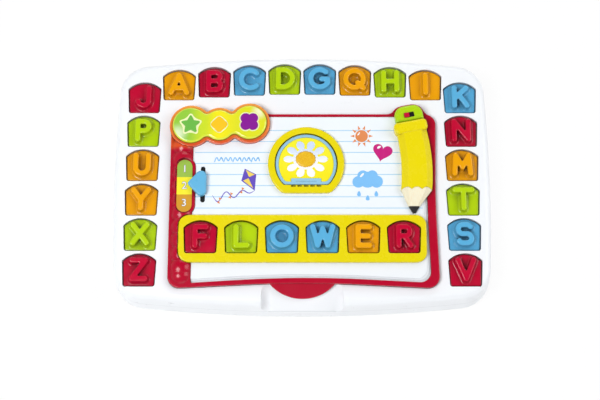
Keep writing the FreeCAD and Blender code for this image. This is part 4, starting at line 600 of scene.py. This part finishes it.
def foot_runs(mesh):
    """A tile face's height, and the closed runs round its letter's foot: points with each side's way out."""
    mesh.calc_loop_triangles()
    points = [vertex.co / MM for vertex in mesh.vertices]
    level_area = {}
    for tri in mesh.loop_triangles:
        if tri.normal.z > FACE_TILT:
            level = round(points[tri.vertices[0]].z, 2)
            level_area[level] = level_area.get(level, 0.0) + tri.area
    face = max(level_area, key=level_area.get)
    follows = {}
    for tri in mesh.loop_triangles:
        corners = [points[i] for i in tri.vertices]
        low = [Vector((p.x, p.y)) for p in corners if abs(p.z - face) < SAME_PLACE]
        if abs(tri.normal.z) < WALL_TILT and len(low) == 2 and max(p.z for p in corners) > face + SAME_PLACE:
            out = Vector((tri.normal.x, tri.normal.y)).normalized()
            first, second = low
            along = second - first
            if along.x * out.y - along.y * out.x > 0:
                first, second = second, first
            follows[spot(first)] = (spot(second), first, out)
    runs = []
    while follows:
        key = next(iter(follows))
        run = []
        while key in follows:
            key, point, out = follows.pop(key)
            run.append((point, out))
        runs.append(run)
    return face, runs


def room_ahead(point, way, walls):
    """How far a way runs before it meets another side of the letter."""
    nearest = 4 * FOOT_REACH
    for first, second in walls:
        side = second - first
        turn = way.x * side.y - way.y * side.x
        if abs(turn) < PARALLEL:
            continue
        gap = first - point
        far = (gap.x * side.y - gap.y * side.x) / turn
        share = (gap.x * way.y - gap.y * way.x) / turn
        if far > SAME_PLACE and 0 <= share <= 1:
            nearest = min(nearest, far)
    return nearest


def letter_foot(letter, row):
    """Hollow slope from a tile's face up to its letter's side, all round the letter."""
    face, runs = foot_runs(nodes[row["node"]].data)
    walls = []
    for run in runs:
        ends = [point for point, _ in run]
        walls += list(zip(ends, ends[1:] + ends[:1]))
    work = bmesh.new()
    for run in runs:
        count = len(run)
        ways, reaches = [], []
        for i, (point, out) in enumerate(run):
            both = (run[i - 1][1] + out).normalized()
            ways.append(both / max(both.dot(out), FOOT_CORNER_LEAST))
            reaches.append(min(FOOT_REACH, FOOT_ROOM_SHARE * room_ahead(point, both, walls)))
        for _ in range(FOOT_SMOOTHINGS):
            reaches = [min(reaches[i], (reaches[i - 1] + reaches[i] + reaches[(i + 1) % count]) / 3)
                       for i in range(count)]
        rings = []
        for (point, _), way, reach in zip(run, ways, reaches):
            rise = FOOT_RISE * (FOOT_LEAST_RISE + (1 - FOOT_LEAST_RISE) * reach / FOOT_REACH)
            profile = []
            for step in range(FOOT_STEPS + 1):
                angle = math.pi / 2 * step / FOOT_STEPS
                profile.append((reach * (1 - math.sin(angle)) - FOOT_BLEND * step / FOOT_STEPS,
                                rise * (1 - math.cos(angle)) - FOOT_BLEND * (1 - step / FOOT_STEPS)))
            profile += [(-FOOT_SINK, rise), (-FOOT_SINK, -FOOT_SINK), (reach, -FOOT_SINK)]
            rings.append([work.verts.new(((point.x + way.x * off) * MM, (point.y + way.y * off) * MM,
                                          (face + up) * MM)) for off, up in profile])
        size = len(rings[0])
        for i in range(count):
            here, there = rings[i], rings[(i + 1) % count]
            for k in range(size):
                quad = work.faces.new((here[k], there[k], there[(k + 1) % size], here[(k + 1) % size]))
                quad.smooth = k < FOOT_STEPS
    bmesh.ops.recalc_face_normals(work, faces=work.faces)
    for edge in work.edges:
        edge.smooth = all(face.smooth for face in edge.link_faces) and edge.calc_face_angle(0) < FOOT_CREASE
    name = "letter_foot_" + letter
    mesh = bpy.data.meshes.new(name)
    work.to_mesh(mesh)
    work.free()
    mesh_piece(name, mesh, materials[row["material_slot"]], row["node"])


for row in frame["record"]["subparts"]:
    if row["node"].startswith("tile_") and row["material_slot"].startswith("tile_"):
        letter_foot(row["node"][-1], row)


# Outlines, in millimetres

RIBBON_TIP = 0.35
RIBBON_TAPER = 6


def turned(points, degrees, centre=(0, 0)):
    c, s = math.cos(math.radians(degrees)), math.sin(math.radians(degrees))
    return [(centre[0] + x * c - y * s, centre[1] + x * s + y * c) for x, y in points]


def oval(x, y, wide, tall, count=48):
    return [(x + wide * math.cos(2 * math.pi * i / count), y + tall * math.sin(2 * math.pi * i / count))
            for i in range(count)]


def smoothed(points, rounds=2, closed=True):
    """Cuts the corners of an outline, so that it bends softly."""
    for _ in range(rounds):
        softer = []
        count = len(points)
        for i in range(count if closed else count - 1):
            (ax, ay), (bx, by) = points[i], points[(i + 1) % count]
            softer += [(0.75 * ax + 0.25 * bx, 0.75 * ay + 0.25 * by),
                       (0.25 * ax + 0.75 * bx, 0.25 * ay + 0.75 * by)]
        if not closed:
            softer = [points[0]] + softer + [points[-1]]
        points = softer
    return points


def puffs(x, y, circles, count=140):
    """Outline round several circles that all reach over one middle point."""
    outline = []
    for i in range(count):
        dx, dy = math.cos(2 * math.pi * i / count), math.sin(2 * math.pi * i / count)
        far = 0.0
        for cx, cy, radius in circles:
            along = cx * dx + cy * dy
            side = radius ** 2 - (cx ** 2 + cy ** 2 - along ** 2)
            if side > 0:
                far = max(far, along + math.sqrt(side))
        outline.append((x + far * dx, y + far * dy))
    return outline


def ribbon(points, width):
    """A stroke of one width along a line, thin at both ends."""
    left, right = [], []
    last = len(points) - 1
    for i, (x, y) in enumerate(points):
        ax, ay = points[max(i - 1, 0)]
        bx, by = points[min(i + 1, last)]
        length = math.hypot(bx - ax, by - ay)
        half = width / 2 * min(1.0, RIBBON_TIP + RIBBON_TAPER * min(i, last - i) / last)
        nx, ny = -(by - ay) / length * half, (bx - ax) / length * half
        left.append((x + nx, y + ny))
        right.append((x - nx, y - ny))
    return left + right[::-1]


# Thin printed pieces

def wall(work, lower, upper):
    """Joins two closed rows of points by a wall of quads."""
    for i in range(len(lower)):
        work.faces.new((lower[i - 1], lower[i], upper[i], upper[i - 1]))


def print_film(name, outlines, base, material, body, layer=0):
    """Flat printed shapes that lie on a face at the height base, one film thickness for each layer below."""
    low = (base - INK_SINK) * MM
    high = (base + INK_FILM * (layer + 1)) * MM
    work = bmesh.new()
    for outline in outlines:
        under = [work.verts.new((x * MM, y * MM, low)) for x, y in outline]
        over = [work.verts.new((x * MM, y * MM, high)) for x, y in outline]
        work.faces.new(under)
        work.faces.new(over)
        wall(work, under, over)
    bmesh.ops.recalc_face_normals(work, faces=work.faces)
    mesh = bpy.data.meshes.new(name)
    work.to_mesh(mesh)
    work.free()
    mesh_piece(name, mesh, material, body)


PAGE_INKS = {
    "peach": ink("peach_ink", srgb(226, 140, 84)),
    "magenta": ink("magenta_ink", srgb(198, 22, 124)),
    "sky": ink("sky_ink", srgb(126, 192, 246)),
    "violet": ink("violet_ink", srgb(98, 76, 190)),
    "pale": ink("pale_ink", srgb(250, 250, 252)),
    "straw": ink("straw_ink", srgb(242, 214, 96)),
    "grey": ink("grey_ink", srgb(120, 124, 130)),
}


def page_print(name, outlines, tone, layer=0):
    print_film(name, outlines, SHEET_TOP, PAGE_INKS[tone], "case", layer)


# Page pictures: sun, heart and rain cloud on the right, kite and practice strokes on the left

SUN = (62.5, 47.5)
SUN_RADIUS = 6.6
RAY_TURN = 36
HEART = (84.0, 30.0)
HEART_SIZE = 11.0
HEART_LEAN = -14
HEART_POINTS = 72
CLOUD = (68.0, 0.0)
DROP_SIZE = 2.9
KITE = (-55.0, 0.5)
KITE_LEAN = 24
TAIL_STEPS = 60
TAIL_LENGTH = 44
TAIL_DROP = 8
TAIL_SWING = 5.0
TAIL_WAVES = 2.6
TAIL_WIDTH = 1.0
BOW_STEPS = (18, 34, 50)
BOW_LEAN = 70
STROKES = 5
STROKE_START = -92.0
STROKE_PITCH = 9.6
STROKE_LOW = 18.8
STROKE_HIGH = 25.6
STROKE_WIDTH = 1.15


def gleam(name, corners, lean, place):
    """Pale highlight with soft corners, on top of a picture."""
    page_print(name, [smoothed(turned(corners, lean, place))], "pale", 1)


rays = [turned([(7.6, -1.5), (12.2, 0.0), (7.6, 1.5)], angle, SUN) for angle in range(0, 360, RAY_TURN)]
page_print("sun_disc", [oval(*SUN, SUN_RADIUS, SUN_RADIUS)] + rays, "peach")
gleam("sun_gleam", [(-2.2, 4.6), (-4.8, 1.2), (-3.8, 0.4), (-1.4, 3.4)], 0, SUN)


def heart_outline(size):
    """Heart drawn by the usual sum of waves, which is 17 units from its middle to its point."""
    outline = []
    for i in range(HEART_POINTS):
        t = 2 * math.pi * i / HEART_POINTS
        across = 16 * math.sin(t) ** 3
        up = 13 * math.cos(t) - 5 * math.cos(2 * t) - 2 * math.cos(3 * t) - math.cos(4 * t)
        outline.append((size * across / 17, size * up / 17))
    return outline


page_print("heart", [turned(heart_outline(HEART_SIZE), HEART_LEAN, HEART)], "magenta")
gleam("heart_gleam", [(-6.6, 4.8), (-3.0, 6.4), (-2.6, 4.6), (-5.8, 1.6)], HEART_LEAN, HEART)

cloud_rounds = [(0, 0, 8.6), (-9.5, -2.4, 6.2), (9.5, -2.0, 6.6), (-4.5, 4.0, 6.0), (5.2, 4.6, 5.6)]
page_print("rain_cloud", [puffs(*CLOUD, cloud_rounds)], "sky")
gleam("cloud_gleam", [(-8.4, 3.4), (-4.6, 7.6), (-3.0, 6.2), (-6.6, 2.4)], 0, CLOUD)


def drop_outline(x, y, size):
    return smoothed([(x, y + size * 1.5), (x + size * 0.75, y), (x + size * 0.55, y - size * 0.8),
                     (x - size * 0.55, y - size * 0.8), (x - size * 0.75, y)], 3)


page_print("rain_drops", [drop_outline(CLOUD[0] + dx, CLOUD[1] + dy, DROP_SIZE)
                          for dx, dy in ((-9.0, -15.5), (0.0, -20.0), (9.0, -15.5))], "sky")

kite_corners = [(0, 12.5), (8.5, 2.0), (0, -13.5), (-8.5, 2.0)]
page_print("kite_sail", [turned(kite_corners, KITE_LEAN, KITE)], "violet")
page_print("kite_panels", [turned([(0.5, 10.6), (7.0, 2.4), (0.5, 2.4)], KITE_LEAN, KITE),
                           turned([(-0.5, 1.4), (-6.8, 1.4), (-0.5, -10.4)], KITE_LEAN, KITE)], "straw", 1)
tail_x, tail_y = turned([(0, -13.5)], KITE_LEAN, KITE)[0]
tail = []
for i in range(TAIL_STEPS + 1):
    share = i / TAIL_STEPS
    swing = TAIL_SWING * math.sin(share * TAIL_WAVES * 2 * math.pi) * share ** 0.5
    tail.append((tail_x - TAIL_LENGTH * share, tail_y - TAIL_DROP * share - swing))
page_print("kite_tail", [ribbon(tail, TAIL_WIDTH)], "violet")
bows = []
for i in BOW_STEPS:
    bows.append(turned([(0, 0), (3.0, 1.6), (3.0, -1.6)], BOW_LEAN, tail[i]))
    bows.append(turned([(0, 0), (-3.0, 1.6), (-3.0, -1.6)], BOW_LEAN, tail[i]))
page_print("kite_bows", bows, "peach", 1)

strokes = []
for i in range(STROKES):
    x = STROKE_START + STROKE_PITCH * i
    zigzag = [(x, STROKE_LOW), (x + 2.4, STROKE_HIGH), (x + 4.8, STROKE_LOW), (x + 7.2, STROKE_HIGH),
              (x + 9.0, 20.0)]
    strokes.append(ribbon(smoothed(zigzag, 3, False), STROKE_WIDTH))
page_print("practice_strokes", strokes, "sky")


# Numbers on the scale

NUMERAL_SIZE = 10.8
NUMERAL_EDGE = 0.42


def number_piece(name, text, y, swell, tone, layer):
    """Printed number on the scale, its outline swollen for the dark edge under it."""
    curve = bpy.data.curves.new(name, "FONT")
    curve.body = text
    curve.size = NUMERAL_SIZE * MM
    curve.align_x = "CENTER"
    curve.align_y = "CENTER"
    curve.extrude = INK_FILM * MM
    curve.offset = swell * MM
    holder = bpy.data.objects.new(name + "_outline", curve)
    bpy.context.scene.collection.objects.link(holder)
    bpy.context.view_layer.update()
    mesh = bpy.data.meshes.new_from_object(holder.evaluated_get(bpy.context.evaluated_depsgraph_get()))
    mesh.name = name
    bpy.data.objects.remove(holder)
    bpy.data.curves.remove(curve)
    for vertex in mesh.vertices:
        vertex.co += Vector((SCALE_X * MM, y * MM, (SCALE_TOP + INK_FILM * layer) * MM))
    mesh.materials.clear()
    mesh_piece(name, mesh, PAGE_INKS[tone], "case")


for text, y in (("1", 11.0), ("2", -7.0), ("3", -25.4)):
    number_piece("scale_number_edge_" + text, text, y, NUMERAL_EDGE, "grey", 0)
    number_piece("scale_number_" + text, text, y, 0.0, "pale", 1)


# Pale borders round the lens motifs

STAR_SPOT = (-117.0, 57.5)
STAR_TIP = 13.9
STAR_NOTCH = 8.1
DIAMOND_SPOT = (-87.0, 57.7)
DIAMOND_TIP = 11.6
DIAMOND_CUT = 0.2
CLOVER_SPOT = (-55.5, 60.7)
LEAF_OFF = 5.4
LEAF_RADIUS = 6.6
border_ink = ink("pale_lime_ink", srgb(244, 248, 190))


def border(name, outline):
    print_film(name, [outline], LENS_TOP, border_ink, "light_button")


star_points = [turned([(STAR_NOTCH if i % 2 else STAR_TIP, 0)], 90 + 36 * i, STAR_SPOT)[0] for i in range(10)]
border("star_border", smoothed(star_points, 2))
tips = [Vector(turned([(DIAMOND_TIP, 0)], 90 * i, DIAMOND_SPOT)[0]) for i in range(4)]
diamond_points = []
for here, there in zip(tips, tips[1:] + tips[:1]):
    diamond_points += [tuple(here.lerp(there, DIAMOND_CUT)), tuple(there.lerp(here, DIAMOND_CUT))]
border("diamond_border", smoothed(diamond_points, 2))
leaf_rounds = [(*turned([(LEAF_OFF, 0)], 45 + 90 * i)[0], LEAF_RADIUS) for i in range(4)]
border("clover_border", puffs(*CLOVER_SPOT, leaf_rounds))


# Daisy on the picture card

DAISY = (3.6, 21.8)
PETALS = 10
PETAL_LENGTH = 20.4
PETAL_START = 8.5
PETAL_HALF = 3.7
PETAL_RISE = 0.45
PETAL_GRID = (8, 14)
DAISY_STRETCH = 1.14
TIP_NOTCH = 0.8
NOTCH_SPREAD = 0.22
PETAL_GROOVE = 0.12
RING_SIZE = (13.4, 11.2)
SEED_SIZE = (10.8, 9.0)
SEED_RISE = 0.9
SEED_GRID = (8, 48)
petal_ink = ink("petal_white", srgb(252, 252, 253), petal_shade, 0.02)
seed_ink = ink("seed_yellow", srgb(230, 176, 16), seed_head, 0.06)


def petal_mesh(name):
    """Ten long petals, each crowned along its middle and notched at its tip."""
    work = bmesh.new()
    across, along = PETAL_GRID
    for p in range(PETALS):
        angle = 360 * p / PETALS
        grid = []
        for j in range(along + 1):
            v = j / along
            half = PETAL_HALF * math.sin(math.pi * (0.1 + 0.87 * v) ** 1.5) ** 0.7
            ring = []
            for i in range(across + 1):
                u = 2 * i / across - 1
                reach = PETAL_START + (PETAL_LENGTH - PETAL_START) * v
                notch = TIP_NOTCH * math.exp(-(u / NOTCH_SPREAD) ** 2) * v ** 6
                crown = (1 - u ** 2) * math.sin(math.pi * min(1, 0.15 + 0.85 * v)) * PETAL_RISE
                groove = PETAL_GROOVE * math.cos(u * 3 * math.pi) * (1 - u ** 2) * v * (1 - v)
                x, y = turned([(reach - notch, u * half)], angle)[0]
                z = CARD_TOP + INK_FILM + max(crown, 0) + groove
                place = (DAISY[0] + DAISY_STRETCH * x, DAISY[1] + y, z)
                ring.append(work.verts.new([value * MM for value in place]))
            grid.append(ring)
        for j in range(along):
            for i in range(across):
                work.faces.new((grid[j][i], grid[j + 1][i], grid[j + 1][i + 1], grid[j][i + 1]))
        right = [ring[-1] for ring in grid[1:]]
        left = [ring[0] for ring in grid[-2:0:-1]]
        rim = grid[0] + right + grid[-1][-2::-1] + left
        foot = [work.verts.new((*point.co.xy, (CARD_TOP - INK_SINK) * MM)) for point in rim]
        wall(work, foot, rim)
        work.faces.new(foot)
    bmesh.ops.recalc_face_normals(work, faces=work.faces)
    for face in work.faces:
        face.smooth = True
    mesh = bpy.data.meshes.new(name)
    work.to_mesh(mesh)
    work.free()
    return mesh


print_film("daisy_ring", [oval(*DAISY, *RING_SIZE)], CARD_TOP, petal_ink, "picture_card")
mesh_piece("daisy_petals", petal_mesh("daisy_petals"), petal_ink, "picture_card")


def seed_mesh(name):
    """Low dome of the daisy's middle, with a rounded rim."""
    work = bmesh.new()
    rings, around = SEED_GRID
    wide, tall = SEED_SIZE
    levels = []
    for j in range(rings):
        share = 1 - j / rings
        z = CARD_TOP + SEED_RISE * math.sqrt(max(0.0, 1 - share ** 4))
        level = oval(*DAISY, wide * share, tall * share, around)
        levels.append([work.verts.new((x * MM, y * MM, z * MM)) for x, y in level])
    for outer, inner in zip(levels, levels[1:]):
        for i in range(around):
            k = (i + 1) % around
            work.faces.new((outer[i], outer[k], inner[k], inner[i]))
    top = work.verts.new((DAISY[0] * MM, DAISY[1] * MM, (CARD_TOP + SEED_RISE) * MM))
    for i in range(around):
        work.faces.new((levels[-1][i], levels[-1][(i + 1) % around], top))
    work.faces.new(levels[0][::-1])
    bmesh.ops.recalc_face_normals(work, faces=work.faces)
    for face in work.faces:
        face.smooth = len(face.verts) < 5
    mesh = bpy.data.meshes.new(name)
    work.to_mesh(mesh)
    work.free()
    return mesh


mesh_piece("daisy_middle", seed_mesh("daisy_middle"), seed_ink, "picture_card")


# Floor, light and camera

FLOOR_NEAR = 0.45
FLOOR_FAR = 1.1
FLOOR_HALF = 12.0
FLOOR_WHITE_NEAR = 0.92
FLOOR_WHITE_FAR = 1.0
FLOOR_TONE = (0.985, 1.0)
FLOOR_ROUGHNESS = 0.9
FLOOR_SHINE = 0.1
BLACK = (0.0, 0.0, 0.0, 1)
WHITE = (1.0, 1.0, 1.0, 1)
DOME_LOW = 0.66
DOME_HIGH = 0.14
DOME_RISE = 0.8
MIDDLE = Vector((0.0, 0.0, 0.03))


def studio_floor():
    """Pale floor that takes the toy's shadow near it, and runs out to an even white further off."""
    material, tree, shader = blank("pale_floor")
    cloud = noise(tree, place_on(tree), FLOOR_CLOUDS, detail=2.0)
    tone = stretched(tree, cloud, 0.3, 0.7, *FLOOR_TONE)
    feed(tree, mixed(tree, tone, BLACK, WHITE), shader["Base Color"])
    shader["Roughness"].default_value = FLOOR_ROUGHNESS
    shader["Specular IOR Level"].default_value = FLOOR_SHINE
    away = node(tree, "ShaderNodeVectorMath", operation="LENGTH")
    feed(tree, place_on(tree), away.inputs[0])
    far = stretched(tree, away.outputs["Value"], FLOOR_NEAR, FLOOR_FAR, FLOOR_WHITE_NEAR, FLOOR_WHITE_FAR,
                    smooth=True)
    path = node(tree, "ShaderNodeLightPath").outputs
    seen = sum_of(tree, "MAXIMUM", path["Is Camera Ray"],
                  sum_of(tree, "MAXIMUM", path["Is Glossy Ray"], path["Is Transmission Ray"]))
    white = node(tree, "ShaderNodeEmission")
    blend = node(tree, "ShaderNodeMixShader")
    feed(tree, sum_of(tree, "MULTIPLY", far, seen), blend.inputs[0])
    feed(tree, tree.nodes["Principled BSDF"].outputs[0], blend.inputs[1])
    feed(tree, white.outputs[0], blend.inputs[2])
    feed(tree, blend.outputs[0], tree.nodes["Material Output"].inputs["Surface"])
    mesh = bpy.data.meshes.new("floor")
    corners = [(x * FLOOR_HALF, y * FLOOR_HALF, 0) for x, y in ((-1, -1), (1, -1), (1, 1), (-1, 1))]
    mesh.from_pydata(corners, [], [(0, 1, 2, 3)])
    floor = bpy.data.objects.new("floor", mesh)
    mesh.materials.append(material)
    bpy.context.scene.collection.objects.link(floor)


studio_floor()

world = bpy.data.worlds.new("studio")
bpy.context.scene.world = world
world.use_nodes = True
sky = world.node_tree
height = node(sky, "ShaderNodeSeparateXYZ")
feed(sky, node(sky, "ShaderNodeTexCoord").outputs["Generated"], height.inputs[0])
dome = stretched(sky, height.outputs["Z"], 0.0, DOME_RISE, DOME_LOW, DOME_HIGH, smooth=True)
feed(sky, dome, sky.nodes["Background"].inputs["Strength"])
sky.nodes["Background"].inputs["Color"].default_value = WHITE


def softbox(name, place, wide, tall, power):
    """Lamp that shines on the middle of the toy."""
    lamp = bpy.data.lights.new(name, "AREA")
    lamp.shape = "RECTANGLE"
    lamp.size = wide
    lamp.size_y = tall
    lamp.energy = power
    holder = bpy.data.objects.new(name, lamp)
    holder.location = place
    holder.rotation_euler = (MIDDLE - Vector(place)).to_track_quat("-Z", "Y").to_euler()
    bpy.context.scene.collection.objects.link(holder)


softbox("key_softbox", (-0.85, -0.45, 1.75), wide=0.8, tall=0.8, power=26)
softbox("right_softbox", (1.5, 0.2, 1.3), wide=1.0, tall=1.2, power=13)
softbox("front_softbox", (0.3, -2.0, 0.6), wide=1.6, tall=0.6, power=3)
softbox("back_softbox", (0.2, 1.8, 1.2), wide=1.4, tall=0.7, power=8)

ELEVATION = math.radians(76.0)
DISTANCE = 1.205
AIM = Vector((-0.00236, -0.0205, 0.040))
FOCAL_PIXELS = 1155.0
IMAGE_WIDTH = 600.0
SENSOR = 36.0

lens = bpy.data.cameras.new("camera")
lens.sensor_width = SENSOR
lens.lens = FOCAL_PIXELS / IMAGE_WIDTH * SENSOR
camera = bpy.data.objects.new("camera", lens)
back = Vector((0, -math.cos(ELEVATION), math.sin(ELEVATION)))
camera.location = AIM + back * DISTANCE
camera.rotation_mode = "QUATERNION"
camera.rotation_quaternion = (-back).to_track_quat("-Z", "Y")
bpy.context.scene.collection.objects.link(camera)
bpy.context.scene.camera = camera
bpy.context.scene.view_settings.view_transform = "Standard"
